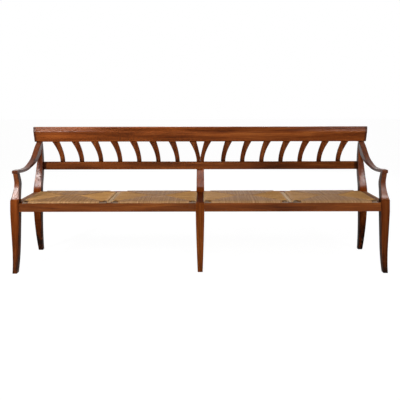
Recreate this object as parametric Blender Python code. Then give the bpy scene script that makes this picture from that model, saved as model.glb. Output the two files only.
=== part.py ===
# Long walnut hall bench: six tapered legs, swept arms, a back of sixteen curved slats
# and four rush seats that lift out of the seat rails.
# Metres, +Z up. X runs along the bench, its front faces -Y, and the origin is on the
# floor under the middle of the bench.

import bpy
import bmesh
from mathutils import Vector

# Plan of the frame
FRONT_SPAN = 2.477
REAR_INSET = 0.011
SEAT_DEPTH = 0.442

# Legs: the two at the front corners have slimmer feet, bow inwards and kick forward
LEG_WIDTH = 0.057
LEG_DEPTH = 0.055
FOOT_WIDTH = 0.033
FOOT_DEPTH = 0.034
LEG_TAPER_POWER = 1.35
CENTRE_FOOT_SETBACK = 0.018
CORNER_FOOT_WIDTH = 0.030
CORNER_FOOT_DEPTH = 0.040
CORNER_TAPER_POWER = 1.08
CORNER_BOW = 0.0078
CORNER_KICK = 0.008
FOOT_SWEEP = 0.095
FOOT_SPLAY = 0.006
BLOCK_RISE = 0.022

# Seat rails
RAIL_TOP = 0.454
RAIL_HEIGHT = 0.055
RAIL_INSET = 0.004
RAIL_LIP = 0.009
RAIL_LEDGE = 0.018
REAR_LIP = 0.020
CROSS_RAIL_LIP = 0.024
REBATE_DEPTH = 0.022

# Back
CREST_BOTTOM = 0.8165
CREST_HEIGHT = 0.111
CREST_THICKNESS = 0.028
CREST_TOP_THICKNESS = 0.024
CREST_OVERHANG = 0.0395
CREST_END_SLOPE = 0.18
CREST_FACE_BREAK = 0.075
CREST_LOWER_SLOPE = 0.12
CREST_UPPER_SLOPE = 0.52
BACK_RAKE = 0.092
STILE_TOP_WIDTH = 0.039
STILE_TAPER_POWER = 2.0
STILE_SPLAY = 0.006
STILE_TOP_DEPTH = 0.036
BACK_RAIL_BOTTOM = 0.611
BACK_RAIL_HEIGHT = 0.0565
BACK_RAIL_THICKNESS = 0.028

# Slats, counted from the middle outwards on each side; the middle pair has slimmer feet
SLATS_PER_SIDE = 8
SLAT_FOOT_WIDTH = 0.033
SLAT_PAIR_FOOT_WIDTH = 0.0275
SLAT_FLARE = 0.021
SLAT_FLARE_POWER = 2.2
SLAT_THICKNESS = 0.014
SLAT_FIRST_GAP = 0.171
SLAT_END_GAP = 0.137
SLAT_LEAN = 0.039
SLAT_LEAN_STEP = 0.0026
SLAT_LEAN_POWER = 1.7
SLAT_PAIR_JOIN = 0.20
SLAT_PAIR_OPENING = 0.0288
SLAT_PAIR_POWER = 1.1

# Arms and their supports
ARM_TOP = 0.668
ARM_REAR_HEIGHT = 0.8015
ARM_SETBACK = 0.015
ARM_FRONT_WIDTH = 0.038
ARM_WAIST_WIDTH = 0.036
ARM_REAR_WIDTH = 0.042
ARM_FRONT_THICKNESS = 0.022
ARM_OVERHANG = 0.005
SUPPORT_WIDTH = 0.033
SUPPORT_BASE_WIDTH = 0.055
SUPPORT_DEPTH = 0.054
SUPPORT_TOP_DEPTH = 0.040
SUPPORT_FOOT_DEPTH = 0.045
SUPPORT_SETBACK = 0.044
SUPPORT_NECK_SETBACK = 0.026
SUPPORT_TOP_SETBACK = 0.020
SUPPORT_FOOT_SETBACK = 0.006

# Lift-out seats
SEAT_SIDE_CLEARANCE = 0.0012
LIST_WIDTH = 0.026
LIST_HEIGHT = 0.016
RUSH_WRAP = 0.006
RUSH_STAND = 0.0105
RUSH_CROWN = 0.003
RUSH_ROLL = 0.016
RUSH_EDGE_SHARE = 0.75
NOTCH_LENGTH = 0.050
NOTCH_DEPTH = 0.052

# Joinery
GAP = 0.0003
EDGE = 0.003
TENON_THICKNESS = 0.012
TENON_LENGTH = 0.020
TENON_SHOULDER = 0.010
STUB_LENGTH = 0.010
LEG_STATIONS = 8
CURVE_STATIONS = 10

# Bow of the corner legs: share of the height up to the rails, share of the bow
CORNER_SHAPE = [(0.00, 0.45), (0.12, 0.85), (0.25, 1.00), (0.40, 0.95), (0.70, 0.45), (1.00, 0.00)]

# Shape of the arm seen from the side: share of its reach, share of its rise
ARM_SHAPE = [
    (0.00, 0.000), (0.05, 0.000), (0.09, 0.000), (0.12, -0.006), (0.20, -0.036), (0.30, -0.055),
    (0.40, -0.051), (0.46, -0.037), (0.52, 0.007), (0.58, 0.067), (0.64, 0.141), (0.70, 0.222),
    (0.76, 0.333), (0.82, 0.502), (0.88, 0.692), (0.94, 0.870), (1.00, 1.000),
]

# Swelling of the arm: share of its reach, its thickness against that of its front end
ARM_SWELL = [(0.00, 1.00), (0.07, 1.00), (0.14, 1.00), (0.30, 0.90), (0.52, 0.92), (0.60, 1.15),
             (0.66, 1.36), (0.75, 1.75), (0.81, 2.20), (0.88, 2.65), (1.00, 2.85)]

# Outer edge of the end stiles seen from the front: share of the height above the seat,
# share of the splay. It draws in towards the arm and splays out above it.
STILE_EDGE = [(0.00, 0.00), (0.13, -0.15), (0.30, -0.30), (0.42, -0.42), (0.50, -0.60),
              (0.60, -0.95), (0.75, -0.50), (1.00, 1.00)]

# Lean of the stiles seen from the side: share of the height above the seat, share of
# the rake. They stand upright at the seat and bend back just above it.
STILE_SHAPE = [(0.00, 0.000), (0.05, 0.012), (0.10, 0.065), (0.20, 0.235), (0.30, 0.415),
               (0.40, 0.566), (0.50, 0.682), (0.70, 0.841), (1.00, 1.000)]

# Levels and places that follow from the sizes above
REAR_SPAN = FRONT_SPAN - 2 * REAR_INSET
CREST_TOP_LENGTH = REAR_SPAN + 2 * CREST_OVERHANG
RAIL_BOTTOM = RAIL_TOP - RAIL_HEIGHT
LEDGE_Z = RAIL_TOP - REBATE_DEPTH
BLOCK_TOP = RAIL_TOP + BLOCK_RISE
BACK_RAIL_TOP = BACK_RAIL_BOTTOM + BACK_RAIL_HEIGHT
CREST_TOP_LEAN = (CREST_FACE_BREAK * CREST_LOWER_SLOPE
                  + (CREST_HEIGHT - CREST_FACE_BREAK) * CREST_UPPER_SLOPE)
CREST_FRONT = SEAT_DEPTH + BACK_RAKE + (STILE_TOP_DEPTH - CREST_THICKNESS) / 2
CREST_REACH = CREST_FRONT + CREST_TOP_LEAN + CREST_TOP_THICKNESS
FOOT_REACH = SEAT_DEPTH + FOOT_SWEEP + LEG_DEPTH / 2 + FOOT_DEPTH / 2
FRONT_Y = (CORNER_KICK - max(CREST_REACH, FOOT_REACH)) / 2
LEG_INNER_X = FRONT_SPAN / 2 - LEG_WIDTH
REAR_INNER_X = REAR_SPAN / 2 - LEG_WIDTH
FRONT_LEG_X = FRONT_SPAN / 2 - LEG_WIDTH / 2
REAR_LEG_X = REAR_SPAN / 2 - LEG_WIDTH / 2
SLAT_PITCH = (REAR_INNER_X - SLAT_END_GAP - SLAT_FIRST_GAP) / (SLATS_PER_SIDE - 2)
ARM_UNDERSIDE = ARM_TOP - ARM_FRONT_THICKNESS

# A pocket's side runs a little past the legs, because the rush there is wider than
# the bare corners of the seat frame that pass between the legs.
POCKET_PAST_LEG = RUSH_WRAP + SEAT_SIDE_CLEARANCE - 2 * GAP
POCKET_FRONT_Y = FRONT_Y + RAIL_INSET + RAIL_LIP
REAR_RAIL_FRONT_Y = FRONT_Y + SEAT_DEPTH + RAIL_INSET
POCKET_REAR_Y = REAR_RAIL_FRONT_Y + RAIL_LEDGE
POCKET_END_X = min(LEG_INNER_X, REAR_INNER_X) + POCKET_PAST_LEG
POCKET_MIDDLE_X = LEG_WIDTH / 2 - POCKET_PAST_LEG
CROSS_RAIL_X = (POCKET_END_X + POCKET_MIDDLE_X) / 2


def clear_scene():
    for item in list(bpy.data.objects):
        bpy.data.objects.remove(item, do_unlink=True)


def make_material(name, colour, roughness):
    material = bpy.data.materials.new(name)
    material.use_nodes = True
    shader = material.node_tree.nodes["Principled BSDF"]
    shader.inputs["Base Color"].default_value = (*colour, 1.0)
    shader.inputs["Roughness"].default_value = roughness
    shader.inputs["Metallic"].default_value = 0.0
    material.diffuse_color = (*colour, 1.0)
    return material


def make_object(name, mesh_builder, material):
    mesh = bpy.data.meshes.new(name)
    bmesh.ops.recalc_face_normals(mesh_builder, faces=mesh_builder.faces)
    mesh_builder.to_mesh(mesh)
    mesh_builder.free()
    if material is not None:
        mesh.materials.append(material)
    item = bpy.data.objects.new(name, mesh)
    bpy.context.scene.collection.objects.link(item)
    return item


def shade_round(item, angle=0.6):
    item.data.shade_smooth()
    item.data.set_sharp_from_angle(angle=angle)


# Closed skin over a stack of rings that all have the same number of points
def loft(name, rings, material):
    builder = bmesh.new()
    rows = [[builder.verts.new(point) for point in ring] for ring in rings]
    count = len(rings[0])
    for lower, upper in zip(rows, rows[1:]):
        for index in range(count):
            following = (index + 1) % count
            builder.faces.new((lower[index], lower[following], upper[following], upper[index]))
    builder.faces.new(list(reversed(rows[0])))
    builder.faces.new(rows[-1])
    return make_object(name, builder, material)


def add_box(builder, low, high):
    corners = [builder.verts.new((x, y, z))
               for z in (low[2], high[2]) for y in (low[1], high[1]) for x in (low[0], high[0])]
    sides = ((0, 2, 3, 1), (4, 5, 7, 6), (0, 1, 5, 4), (2, 6, 7, 3), (0, 4, 6, 2), (1, 3, 7, 5))
    for side in sides:
        builder.faces.new([corners[index] for index in side])


def box(name, low, high, material):
    builder = bmesh.new()
    add_box(builder, low, high)
    return make_object(name, builder, material)


# A tool is one object that holds several boxes, used to cut or to add at one go
def box_tool(name, boxes):
    builder = bmesh.new()
    for low, high in boxes:
        add_box(builder, low, high)
    return make_object(name, builder, None)


def combine(item, tool, operation):
    step = item.modifiers.new(tool.name, "BOOLEAN")
    step.operation = operation
    step.solver = "EXACT"
    step.object = tool
    tool.hide_render = True
    tool.display_type = "WIRE"


def cut(item, boxes):
    combine(item, box_tool(item.name + "_cut", boxes), "DIFFERENCE")


def add(item, boxes):
    combine(item, box_tool(item.name + "_add", boxes), "UNION")


def grown(low, high, by):
    return [low[axis] - by[axis] for axis in range(3)], [high[axis] + by[axis] for axis in range(3)]


# The hole for a tenon, with play all round
def mortise(low, high):
    return grown(low, high, (GAP, GAP, GAP))


def share(start, end, part):
    return start + (end - start) * part


# Value at a place on a smooth curve through (place, value) points
def smooth_value(points, place):
    last = len(points) - 1
    place = min(max(place, points[0][0]), points[last][0])
    index = 0
    while index < last - 1 and place > points[index + 1][0]:
        index += 1

    def slope(at):
        before = points[max(at - 1, 0)]
        after = points[min(at + 1, last)]
        return (after[1] - before[1]) / (after[0] - before[0])

    (start, low), (end, high) = points[index], points[index + 1]
    span = end - start
    t = (place - start) / span
    return (low * (2 * t**3 - 3 * t**2 + 1) + high * (3 * t**2 - 2 * t**3)
            + slope(index) * span * (t**3 - 2 * t**2 + t)
            + slope(index + 1) * span * (t**3 - t**2))


# Level ring of eight points: a rectangle with its corners taken off
def level_ring(centre_x, centre_y, width, depth, z, edge=EDGE):
    half_w = width / 2
    half_d = depth / 2
    outline = [
        (-half_w + edge, -half_d), (half_w - edge, -half_d),
        (half_w, -half_d + edge), (half_w, half_d - edge),
        (half_w - edge, half_d), (-half_w + edge, half_d),
        (-half_w, half_d - edge), (-half_w, -half_d + edge),
    ]
    return [Vector((centre_x + x, centre_y + y, z)) for x, y in outline]


# Legs swell from the foot to full size at the underside of the rails
def leg_rest(z):
    return 1 - min(z / RAIL_BOTTOM, 1.0)


def leg_width(z):
    return share(LEG_WIDTH, FOOT_WIDTH, leg_rest(z)**LEG_TAPER_POWER)


def leg_depth(z):
    return share(LEG_DEPTH, FOOT_DEPTH, leg_rest(z)**LEG_TAPER_POWER)


def leg_heights():
    return [RAIL_BOTTOM * step / LEG_STATIONS for step in range(LEG_STATIONS + 1)]


def centre_leg_ring(z):
    front_y = FRONT_Y + CENTRE_FOOT_SETBACK * leg_rest(z)**LEG_TAPER_POWER
    return level_ring(0.0, front_y + leg_depth(z) / 2, leg_width(z), leg_depth(z), z)


def corner_leg_ring(side, z):
    taper = leg_rest(z)**CORNER_TAPER_POWER
    width = share(LEG_WIDTH, CORNER_FOOT_WIDTH, taper)
    depth = share(LEG_DEPTH, CORNER_FOOT_DEPTH, taper)
    centre_x = FRONT_LEG_X - CORNER_BOW * smooth_value(CORNER_SHAPE, 1 - leg_rest(z))
    front_y = FRONT_Y - CORNER_KICK * leg_rest(z)**2
    return level_ring(side * centre_x, front_y + depth / 2, width, depth, z)


# How far the rear legs have left the line of the seat, and the line of the back
def rear_offset(z):
    if z < RAIL_BOTTOM:
        return FOOT_SWEEP * leg_rest(z)**2
    return BACK_RAKE * smooth_value(STILE_SHAPE, stile_share(z))


def stile_share(z):
    return max(z - RAIL_TOP, 0) / (CREST_BOTTOM - RAIL_TOP)


def stile_width(z):
    if z < RAIL_TOP:
        return leg_width(z)
    return share(LEG_WIDTH, STILE_TOP_WIDTH, stile_share(z)**STILE_TAPER_POWER)


def stile_depth(z):
    if z < RAIL_TOP:
        return leg_depth(z)
    return share(LEG_DEPTH, STILE_TOP_DEPTH, stile_share(z))


def stile_front_y(z):
    swept = (LEG_DEPTH - leg_depth(z)) / 2 if z < RAIL_BOTTOM else 0.0
    return FRONT_Y + SEAT_DEPTH + rear_offset(z) + swept


def stile_centre_y(z):
    return stile_front_y(z) + stile_depth(z) / 2


def stile_outer_x(z):
    return REAR_SPAN / 2 + STILE_SPLAY * smooth_value(STILE_EDGE, stile_share(z))


def stile_inner_x(z):
    return REAR_SPAN / 2 + STILE_SPLAY * stile_share(z) - stile_width(z)


def end_stile_width(z):
    if z < RAIL_TOP:
        return leg_width(z)
    return stile_outer_x(z) - stile_inner_x(z)


def stile_centre_x(side, z):
    if z < RAIL_TOP:
        return side * (REAR_LEG_X + FOOT_SPLAY * leg_rest(z)**2)
    return side * (stile_outer_x(z) + stile_inner_x(z)) / 2


def stile_heights(top):
    steps = [share(RAIL_TOP, top, step / CURVE_STATIONS) for step in range(CURVE_STATIONS + 1)]
    return leg_heights() + steps


def tenon_rings(centre_x, centre_y, width, depth, bottom, length):
    return [level_ring(centre_x, centre_y, width, depth, z, EDGE / 2)
            for z in (bottom, bottom + length)]


def stile_tenon_size(z):
    return stile_width(z) - 2 * TENON_SHOULDER, TENON_THICKNESS


def end_stile(name, side, material):
    top = CREST_BOTTOM - GAP
    rings = [level_ring(stile_centre_x(side, z), stile_centre_y(z), end_stile_width(z),
                        stile_depth(z), z) for z in stile_heights(top)]
    width, depth = stile_tenon_size(top)
    rings += tenon_rings(stile_centre_x(side, top), stile_centre_y(top), width, depth,
                         top, TENON_LENGTH)
    return loft(name, rings, material)


def centre_stile(name, material):
    top = BACK_RAIL_BOTTOM - GAP
    rings = [level_ring(0.0, stile_centre_y(z), stile_width(z), stile_depth(z), z)
             for z in stile_heights(top)]
    width, depth = stile_tenon_size(top)
    rings += tenon_rings(0.0, stile_centre_y(top), width, depth, top, TENON_LENGTH)
    return loft(name, rings, material)


# The support above a front leg: how far its front face stands back, and its size
def support_setback(part):
    return smooth_value([(0.0, SUPPORT_FOOT_SETBACK), (0.25, SUPPORT_NECK_SETBACK),
                         (0.60, SUPPORT_SETBACK), (1.0, SUPPORT_TOP_SETBACK)], part)


def support_width(part):
    neck = share(SUPPORT_BASE_WIDTH, SUPPORT_WIDTH, 0.8)
    return smooth_value([(0.0, SUPPORT_BASE_WIDTH), (0.3, neck), (0.6, SUPPORT_WIDTH),
                         (1.0, SUPPORT_WIDTH)], part)


def support_depth(part):
    return smooth_value([(0.0, SUPPORT_FOOT_DEPTH), (0.25, SUPPORT_DEPTH), (0.55, SUPPORT_DEPTH),
                         (1.0, SUPPORT_TOP_DEPTH)], part)


def support_centre_x(side):
    return side * (FRONT_LEG_X + (LEG_WIDTH - SUPPORT_BASE_WIDTH) / 4)


def support_tenon_centre_y():
    return FRONT_Y + SUPPORT_TOP_SETBACK + SUPPORT_TOP_DEPTH / 2


def end_front_leg(name, side, material):
    rings = [corner_leg_ring(side, z) for z in leg_heights() + [BLOCK_TOP]]
    top = ARM_UNDERSIDE - GAP
    base = BLOCK_TOP + EDGE
    for step in range(CURVE_STATIONS + 1):
        part = step / CURVE_STATIONS
        depth = support_depth(part)
        centre_y = FRONT_Y + support_setback(part) + depth / 2
        rings.append(level_ring(support_centre_x(side), centre_y, support_width(part), depth,
                                share(base, top, part)))
    rings += tenon_rings(support_centre_x(side), support_tenon_centre_y(),
                         SUPPORT_WIDTH - 2 * TENON_SHOULDER, SUPPORT_TOP_DEPTH - 2 * TENON_SHOULDER,
                         top, STUB_LENGTH)
    return loft(name, rings, material)


def support_tenon_box(side):
    centre = (support_centre_x(side), support_tenon_centre_y())
    half = (SUPPORT_WIDTH / 2 - TENON_SHOULDER, SUPPORT_TOP_DEPTH / 2 - TENON_SHOULDER)
    low = (centre[0] - half[0], centre[1] - half[1], ARM_UNDERSIDE - 2 * GAP)
    high = (centre[0] + half[0], centre[1] + half[1], ARM_UNDERSIDE + STUB_LENGTH)
    return low, high


# Arm, swept along a line that runs half its front thickness below its top face, so that
# it thickens downwards as it rises
def arm_thickness(part):
    return ARM_FRONT_THICKNESS * smooth_value(ARM_SWELL, part)


def arm_width(part):
    return smooth_value([(0.0, ARM_FRONT_WIDTH), (0.14, ARM_FRONT_WIDTH), (0.5, ARM_WAIST_WIDTH),
                         (1.0, ARM_REAR_WIDTH)], part)


def arm_line(part):
    y = share(FRONT_Y + ARM_SETBACK, stile_front_y(ARM_REAR_HEIGHT), part)
    z = share(ARM_TOP - ARM_FRONT_THICKNESS / 2, ARM_REAR_HEIGHT, smooth_value(ARM_SHAPE, part))
    return Vector((0.0, y, z))


def arm_centre_x(side, part):
    front = abs(support_centre_x(side)) + SUPPORT_WIDTH / 2 + ARM_OVERHANG
    return side * (share(front, stile_outer_x(ARM_REAR_HEIGHT), part) - arm_width(part) / 2)


def arm_ring(side, part, push, trim):
    step = 0.01
    tangent = (arm_line(min(part + step, 1.0)) - arm_line(max(part - step, 0.0))).normalized()
    across = Vector((1.0, 0.0, 0.0))
    normal = across.cross(tangent)
    drop = (arm_thickness(part) - ARM_FRONT_THICKNESS) / 2
    centre = arm_line(part) + across * arm_centre_x(side, part) + tangent * push - normal * drop
    half_w = arm_width(part) / 2 - trim
    half_t = arm_thickness(part) / 2 - trim
    edge = EDGE * 1.5
    outline = [
        (-half_w + edge, -half_t), (half_w - edge, -half_t),
        (half_w, -half_t + edge), (half_w, half_t - edge),
        (half_w - edge, half_t), (-half_w + edge, half_t),
        (-half_w, half_t - edge), (-half_w, -half_t + edge),
    ]
    return [centre + across * x + normal * t for x, t in outline]


def arm(name, side, material):
    stations = 2 * CURVE_STATIONS
    rings = [arm_ring(side, 0.0, 0.0, EDGE), arm_ring(side, 0.0, EDGE, 0.0)]
    rings += [arm_ring(side, step / stations, 0.0, 0.0) for step in range(1, stations + 1)]
    rings.append(arm_ring(side, 1.0, STILE_TOP_DEPTH / 2, 0.0))
    item = loft(name, rings, material)
    combine(item, behind_stile_face(name + "_trim", side), "DIFFERENCE")
    add(item, [arm_tenon_box(side, -STUB_LENGTH)])
    cut(item, [mortise(*support_tenon_box(side))])
    return item


# Everything behind the front face of an end stile, wider than the arm
def behind_stile_face(name, side):
    reach = arm_thickness(1.0) * 1.5
    rings = []
    for step in range(CURVE_STATIONS + 1):
        z = share(ARM_REAR_HEIGHT - reach, ARM_REAR_HEIGHT + reach, step / CURVE_STATIONS)
        depth = 3 * STILE_TOP_DEPTH
        centre_y = stile_front_y(z) - GAP + depth / 2
        rings.append(level_ring(stile_centre_x(side, z), centre_y, 3 * ARM_FRONT_WIDTH, depth, z))
    return loft(name, rings, None)


def arm_tenon_box(side, start):
    centre_z = ARM_REAR_HEIGHT - (arm_thickness(1.0) - ARM_FRONT_THICKNESS) / 2
    centre_x = (arm_centre_x(side, 1.0) + stile_centre_x(side, centre_z)) / 2
    front = stile_front_y(centre_z)
    half = TENON_THICKNESS / 2
    low = (centre_x - half, front + start, centre_z - half)
    high = (centre_x + half, front + TENON_LENGTH, centre_z + half)
    return low, high


# Crest rail: one section drawn out along X, with ends that lean in towards the bottom
def crest_front(height):
    lower = min(height, CREST_FACE_BREAK)
    upper = max(height - CREST_FACE_BREAK, 0)
    return lower * CREST_LOWER_SLOPE + upper * CREST_UPPER_SLOPE


def crest_section():
    front = [EDGE, CREST_FACE_BREAK - 2 * EDGE, CREST_FACE_BREAK + 2 * EDGE, CREST_HEIGHT - 2 * EDGE]
    section = [(crest_front(h), h) for h in front]
    top = crest_front(CREST_HEIGHT)
    section += [(top, CREST_HEIGHT - EDGE / 2), (top + EDGE, CREST_HEIGHT),
                (top + CREST_TOP_THICKNESS - EDGE, CREST_HEIGHT),
                (top + CREST_TOP_THICKNESS, CREST_HEIGHT - EDGE)]
    for h in reversed(front):
        thickness = share(CREST_THICKNESS, CREST_TOP_THICKNESS, h / CREST_HEIGHT)
        section.append((crest_front(h) + thickness, h))
    section += [(CREST_THICKNESS - EDGE, 0.0), (EDGE, 0.0)]
    return section


def crest_rail(name, material):
    rings = []
    for side in (-1, 1):
        ring = []
        for depth, height in crest_section():
            half = CREST_TOP_LENGTH / 2 - CREST_END_SLOPE * (CREST_HEIGHT - height)
            ring.append(Vector((side * half, FRONT_Y + CREST_FRONT + depth, CREST_BOTTOM + height)))
        rings.append(ring)
    item = loft(name, rings, material)
    holes = [mortise(*slat_tenon_box(side, number, True))
             for side in (-1, 1) for number in range(SLATS_PER_SIDE)]
    holes += [mortise(*stile_tenon_box(side)) for side in (-1, 1)]
    cut(item, holes)
    return item


def stile_tenon_box(side):
    width, depth = stile_tenon_size(CREST_BOTTOM)
    centre = (stile_centre_x(side, CREST_BOTTOM), stile_centre_y(CREST_BOTTOM))
    low = (centre[0] - width / 2, centre[1] - depth / 2, CREST_BOTTOM - 2 * GAP)
    high = (centre[0] + width / 2, centre[1] + depth / 2, CREST_BOTTOM + TENON_LENGTH)
    return low, high


# Lower back rail, raked like the stiles and shouldered against them
def back_rail(name, material):
    section = []
    for z, inset in ((BACK_RAIL_BOTTOM, EDGE), (BACK_RAIL_BOTTOM + EDGE, 0.0),
                     (BACK_RAIL_TOP - EDGE, 0.0), (BACK_RAIL_TOP, EDGE)):
        section.append((stile_centre_y(z) - BACK_RAIL_THICKNESS / 2 + inset, z))
    for z, inset in ((BACK_RAIL_TOP, EDGE), (BACK_RAIL_TOP - EDGE, 0.0),
                     (BACK_RAIL_BOTTOM + EDGE, 0.0), (BACK_RAIL_BOTTOM, EDGE)):
        section.append((stile_centre_y(z) + BACK_RAIL_THICKNESS / 2 - inset, z))
    rings = []
    for side in (-1, 1):
        ring = []
        for y, z in section:
            inner = stile_inner_x(z) - GAP
            ring.append(Vector((side * inner, y, z)))
        rings.append(ring)
    item = loft(name, rings, material)
    add(item, [back_rail_tenon_box(side, -STUB_LENGTH) for side in (-1, 1)])
    holes = [mortise(*slat_tenon_box(side, number, False))
             for side in (-1, 1) for number in range(SLATS_PER_SIDE)]
    holes.append(mortise(*centre_tenon_box()))
    cut(item, holes)
    return item


def back_rail_tenon_box(side, start):
    middle = (BACK_RAIL_BOTTOM + BACK_RAIL_TOP) / 2
    inner = stile_inner_x(middle)
    half_t = TENON_THICKNESS / 2
    half_h = BACK_RAIL_HEIGHT / 2 - TENON_SHOULDER
    ends = sorted((side * (inner + start), side * (inner + TENON_LENGTH)))
    centre_y = stile_centre_y(middle)
    low = (ends[0], centre_y - half_t, middle - half_h)
    high = (ends[1], centre_y + half_t, middle + half_h)
    return low, high


def centre_tenon_box():
    width, depth = stile_tenon_size(BACK_RAIL_BOTTOM)
    centre_y = stile_centre_y(BACK_RAIL_BOTTOM)
    low = (-width / 2, centre_y - depth / 2, BACK_RAIL_BOTTOM - 2 * GAP)
    high = (width / 2, centre_y + depth / 2, BACK_RAIL_BOTTOM + TENON_LENGTH)
    return low, high


# Slats stand on the lower back rail and lean away from the middle as they rise
def slat_foot_width(number):
    return SLAT_PAIR_FOOT_WIDTH if number == 0 else SLAT_FOOT_WIDTH


def slat_foot_x(number):
    if number == 0:
        return (SLAT_PAIR_FOOT_WIDTH + GAP) / 2
    return SLAT_FIRST_GAP + (number - 1) * SLAT_PITCH


# Inner and outer edge of a slat; the inner edges of the middle pair part higher up
def slat_edges(number, part):
    lean = SLAT_LEAN + SLAT_LEAN_STEP * number + (SLAT_FOOT_WIDTH - slat_foot_width(number)) / 2
    centre = slat_foot_x(number) + lean * part**SLAT_LEAN_POWER
    half = share(slat_foot_width(number), SLAT_FOOT_WIDTH + SLAT_FLARE, part**SLAT_FLARE_POWER) / 2
    if number == 0:
        parted = max(part - SLAT_PAIR_JOIN, 0) / (1 - SLAT_PAIR_JOIN)
        return GAP / 2 + SLAT_PAIR_OPENING * parted**SLAT_PAIR_POWER, centre + half
    return centre - half, centre + half


def slat_x(number, part):
    return sum(slat_edges(number, part)) / 2


def slat_width(number, part):
    inner, outer = slat_edges(number, part)
    return outer - inner


def slat_centre_y(part):
    crest_centre = FRONT_Y + CREST_FRONT + CREST_THICKNESS / 2
    return share(stile_centre_y(BACK_RAIL_TOP), crest_centre, part)


def slat_tenon_width():
    return SLAT_PAIR_FOOT_WIDTH - TENON_SHOULDER


def slat_ring(side, number, part, z, width, depth, edge):
    return level_ring(side * slat_x(number, part), slat_centre_y(part), width, depth, z, edge)


def slat(name, side, number, material):
    bottom = BACK_RAIL_TOP + GAP
    top = CREST_BOTTOM - GAP
    tenon_depth = SLAT_THICKNESS / 2
    rings = [slat_ring(side, number, 0.0, z, slat_tenon_width(), tenon_depth, GAP)
             for z in (bottom - STUB_LENGTH, bottom)]
    for step in range(CURVE_STATIONS + 1):
        part = step / CURVE_STATIONS
        rings.append(slat_ring(side, number, part, share(bottom, top, part),
                               slat_width(number, part), SLAT_THICKNESS, EDGE / 2))
    rings += [slat_ring(side, number, 1.0, z, slat_tenon_width(), tenon_depth, GAP)
              for z in (top, top + STUB_LENGTH)]
    item = loft(name, rings, material)
    shade_round(item)
    return item


def slat_tenon_box(side, number, at_top):
    part = 1.0 if at_top else 0.0
    centre = (side * slat_x(number, part), slat_centre_y(part))
    half = (slat_tenon_width() / 2, SLAT_THICKNESS / 4)
    if at_top:
        ends = (CREST_BOTTOM - 2 * GAP, CREST_BOTTOM + STUB_LENGTH)
    else:
        ends = (BACK_RAIL_TOP - STUB_LENGTH, BACK_RAIL_TOP + 2 * GAP)
    low = (centre[0] - half[0], centre[1] - half[1], ends[0])
    high = (centre[0] + half[0], centre[1] + half[1], ends[1])
    return low, high


# Pockets that the seats drop into, as (left, right) edges
def pocket_edges():
    lip = CROSS_RAIL_LIP / 2
    return [(-POCKET_END_X, -CROSS_RAIL_X - lip), (-CROSS_RAIL_X + lip, -POCKET_MIDDLE_X),
            (POCKET_MIDDLE_X, CROSS_RAIL_X - lip), (CROSS_RAIL_X + lip, POCKET_END_X)]


def pocket_boxes(left, right):
    clear = RAIL_TOP + REBATE_DEPTH
    return [((low, POCKET_FRONT_Y, LEDGE_Z), (high, POCKET_REAR_Y, clear))
            for low, high in pocket_edges() if high > left and low < right]


def rail_levels():
    return RAIL_BOTTOM, RAIL_TOP


# Tenon box at one end of a rail: axis 0 runs along X, axis 1 along Y
def rail_tenon_box(axis, end, direction, centre_across, start):
    middle = (RAIL_BOTTOM + LEDGE_Z) / 2
    half_h = (LEDGE_Z - RAIL_BOTTOM) / 2 - TENON_SHOULDER / 2
    half_t = TENON_THICKNESS / 2
    ends = sorted((end + direction * start, end + direction * TENON_LENGTH))
    low = [0.0, 0.0, middle - half_h]
    high = [0.0, 0.0, middle + half_h]
    low[axis], high[axis] = ends
    low[1 - axis] = centre_across - half_t
    high[1 - axis] = centre_across + half_t
    return low, high


# Where the rails run, and the tenons at their two ends
FRONT_RAIL_Y = (FRONT_Y + RAIL_INSET, POCKET_FRONT_Y + RAIL_LEDGE)
REAR_RAIL_Y = (REAR_RAIL_FRONT_Y, POCKET_REAR_Y + REAR_LIP)
SIDE_RAIL_X = (POCKET_END_X - RAIL_LEDGE, REAR_SPAN / 2 - RAIL_INSET)
LEG_REAR_Y = FRONT_Y + LEG_DEPTH
STILE_FRONT_Y = FRONT_Y + SEAT_DEPTH
FRONT_TENON_Y = (FRONT_RAIL_Y[0] + FRONT_RAIL_Y[1]) / 2
REAR_TENON_Y = (REAR_RAIL_Y[0] + REAR_RAIL_Y[1]) / 2
SIDE_TENON_X = FRONT_LEG_X


def long_rail_tenons(side, y, outer_x):
    return [rail_tenon_box(0, side * LEG_WIDTH / 2, -side, y, -STUB_LENGTH),
            rail_tenon_box(0, side * outer_x, side, y, -STUB_LENGTH)]


def cross_rail_tenons(x, front_y, rear_y):
    return [rail_tenon_box(1, front_y, -1, x, -STUB_LENGTH),
            rail_tenon_box(1, rear_y, 1, x, -STUB_LENGTH)]


def long_rail(name, side, y_edges, tenon_y, outer_x, material):
    low_z, high_z = rail_levels()
    ends = sorted((side * (LEG_WIDTH / 2 + GAP), side * (outer_x - GAP)))
    item = box(name, (ends[0], y_edges[0], low_z), (ends[1], y_edges[1], high_z), material)
    add(item, long_rail_tenons(side, tenon_y, outer_x))
    holes = pocket_boxes(ends[0], ends[1])
    front = y_edges[0] < POCKET_FRONT_Y
    index = 0 if front else 1
    holes.append(mortise(*outer_cross_tenons(side)[index]))
    cut(item, holes)
    return item


def outer_cross_tenons(side):
    return cross_rail_tenons(side * CROSS_RAIL_X, FRONT_RAIL_Y[1], REAR_RAIL_Y[0])


def middle_cross_tenons():
    return cross_rail_tenons(0.0, LEG_REAR_Y, STILE_FRONT_Y)


def side_rail_tenons(side):
    return cross_rail_tenons(side * SIDE_TENON_X, LEG_REAR_Y, STILE_FRONT_Y)


def cross_rail(name, x, half_lip, front_y, rear_y, tenons, material):
    low_z, high_z = rail_levels()
    half = half_lip + RAIL_LEDGE
    item = box(name, (x - half, front_y + GAP, low_z), (x + half, rear_y - GAP, high_z), material)
    add(item, tenons)
    cut(item, pocket_boxes(x - half, x + half))
    return item


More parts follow.
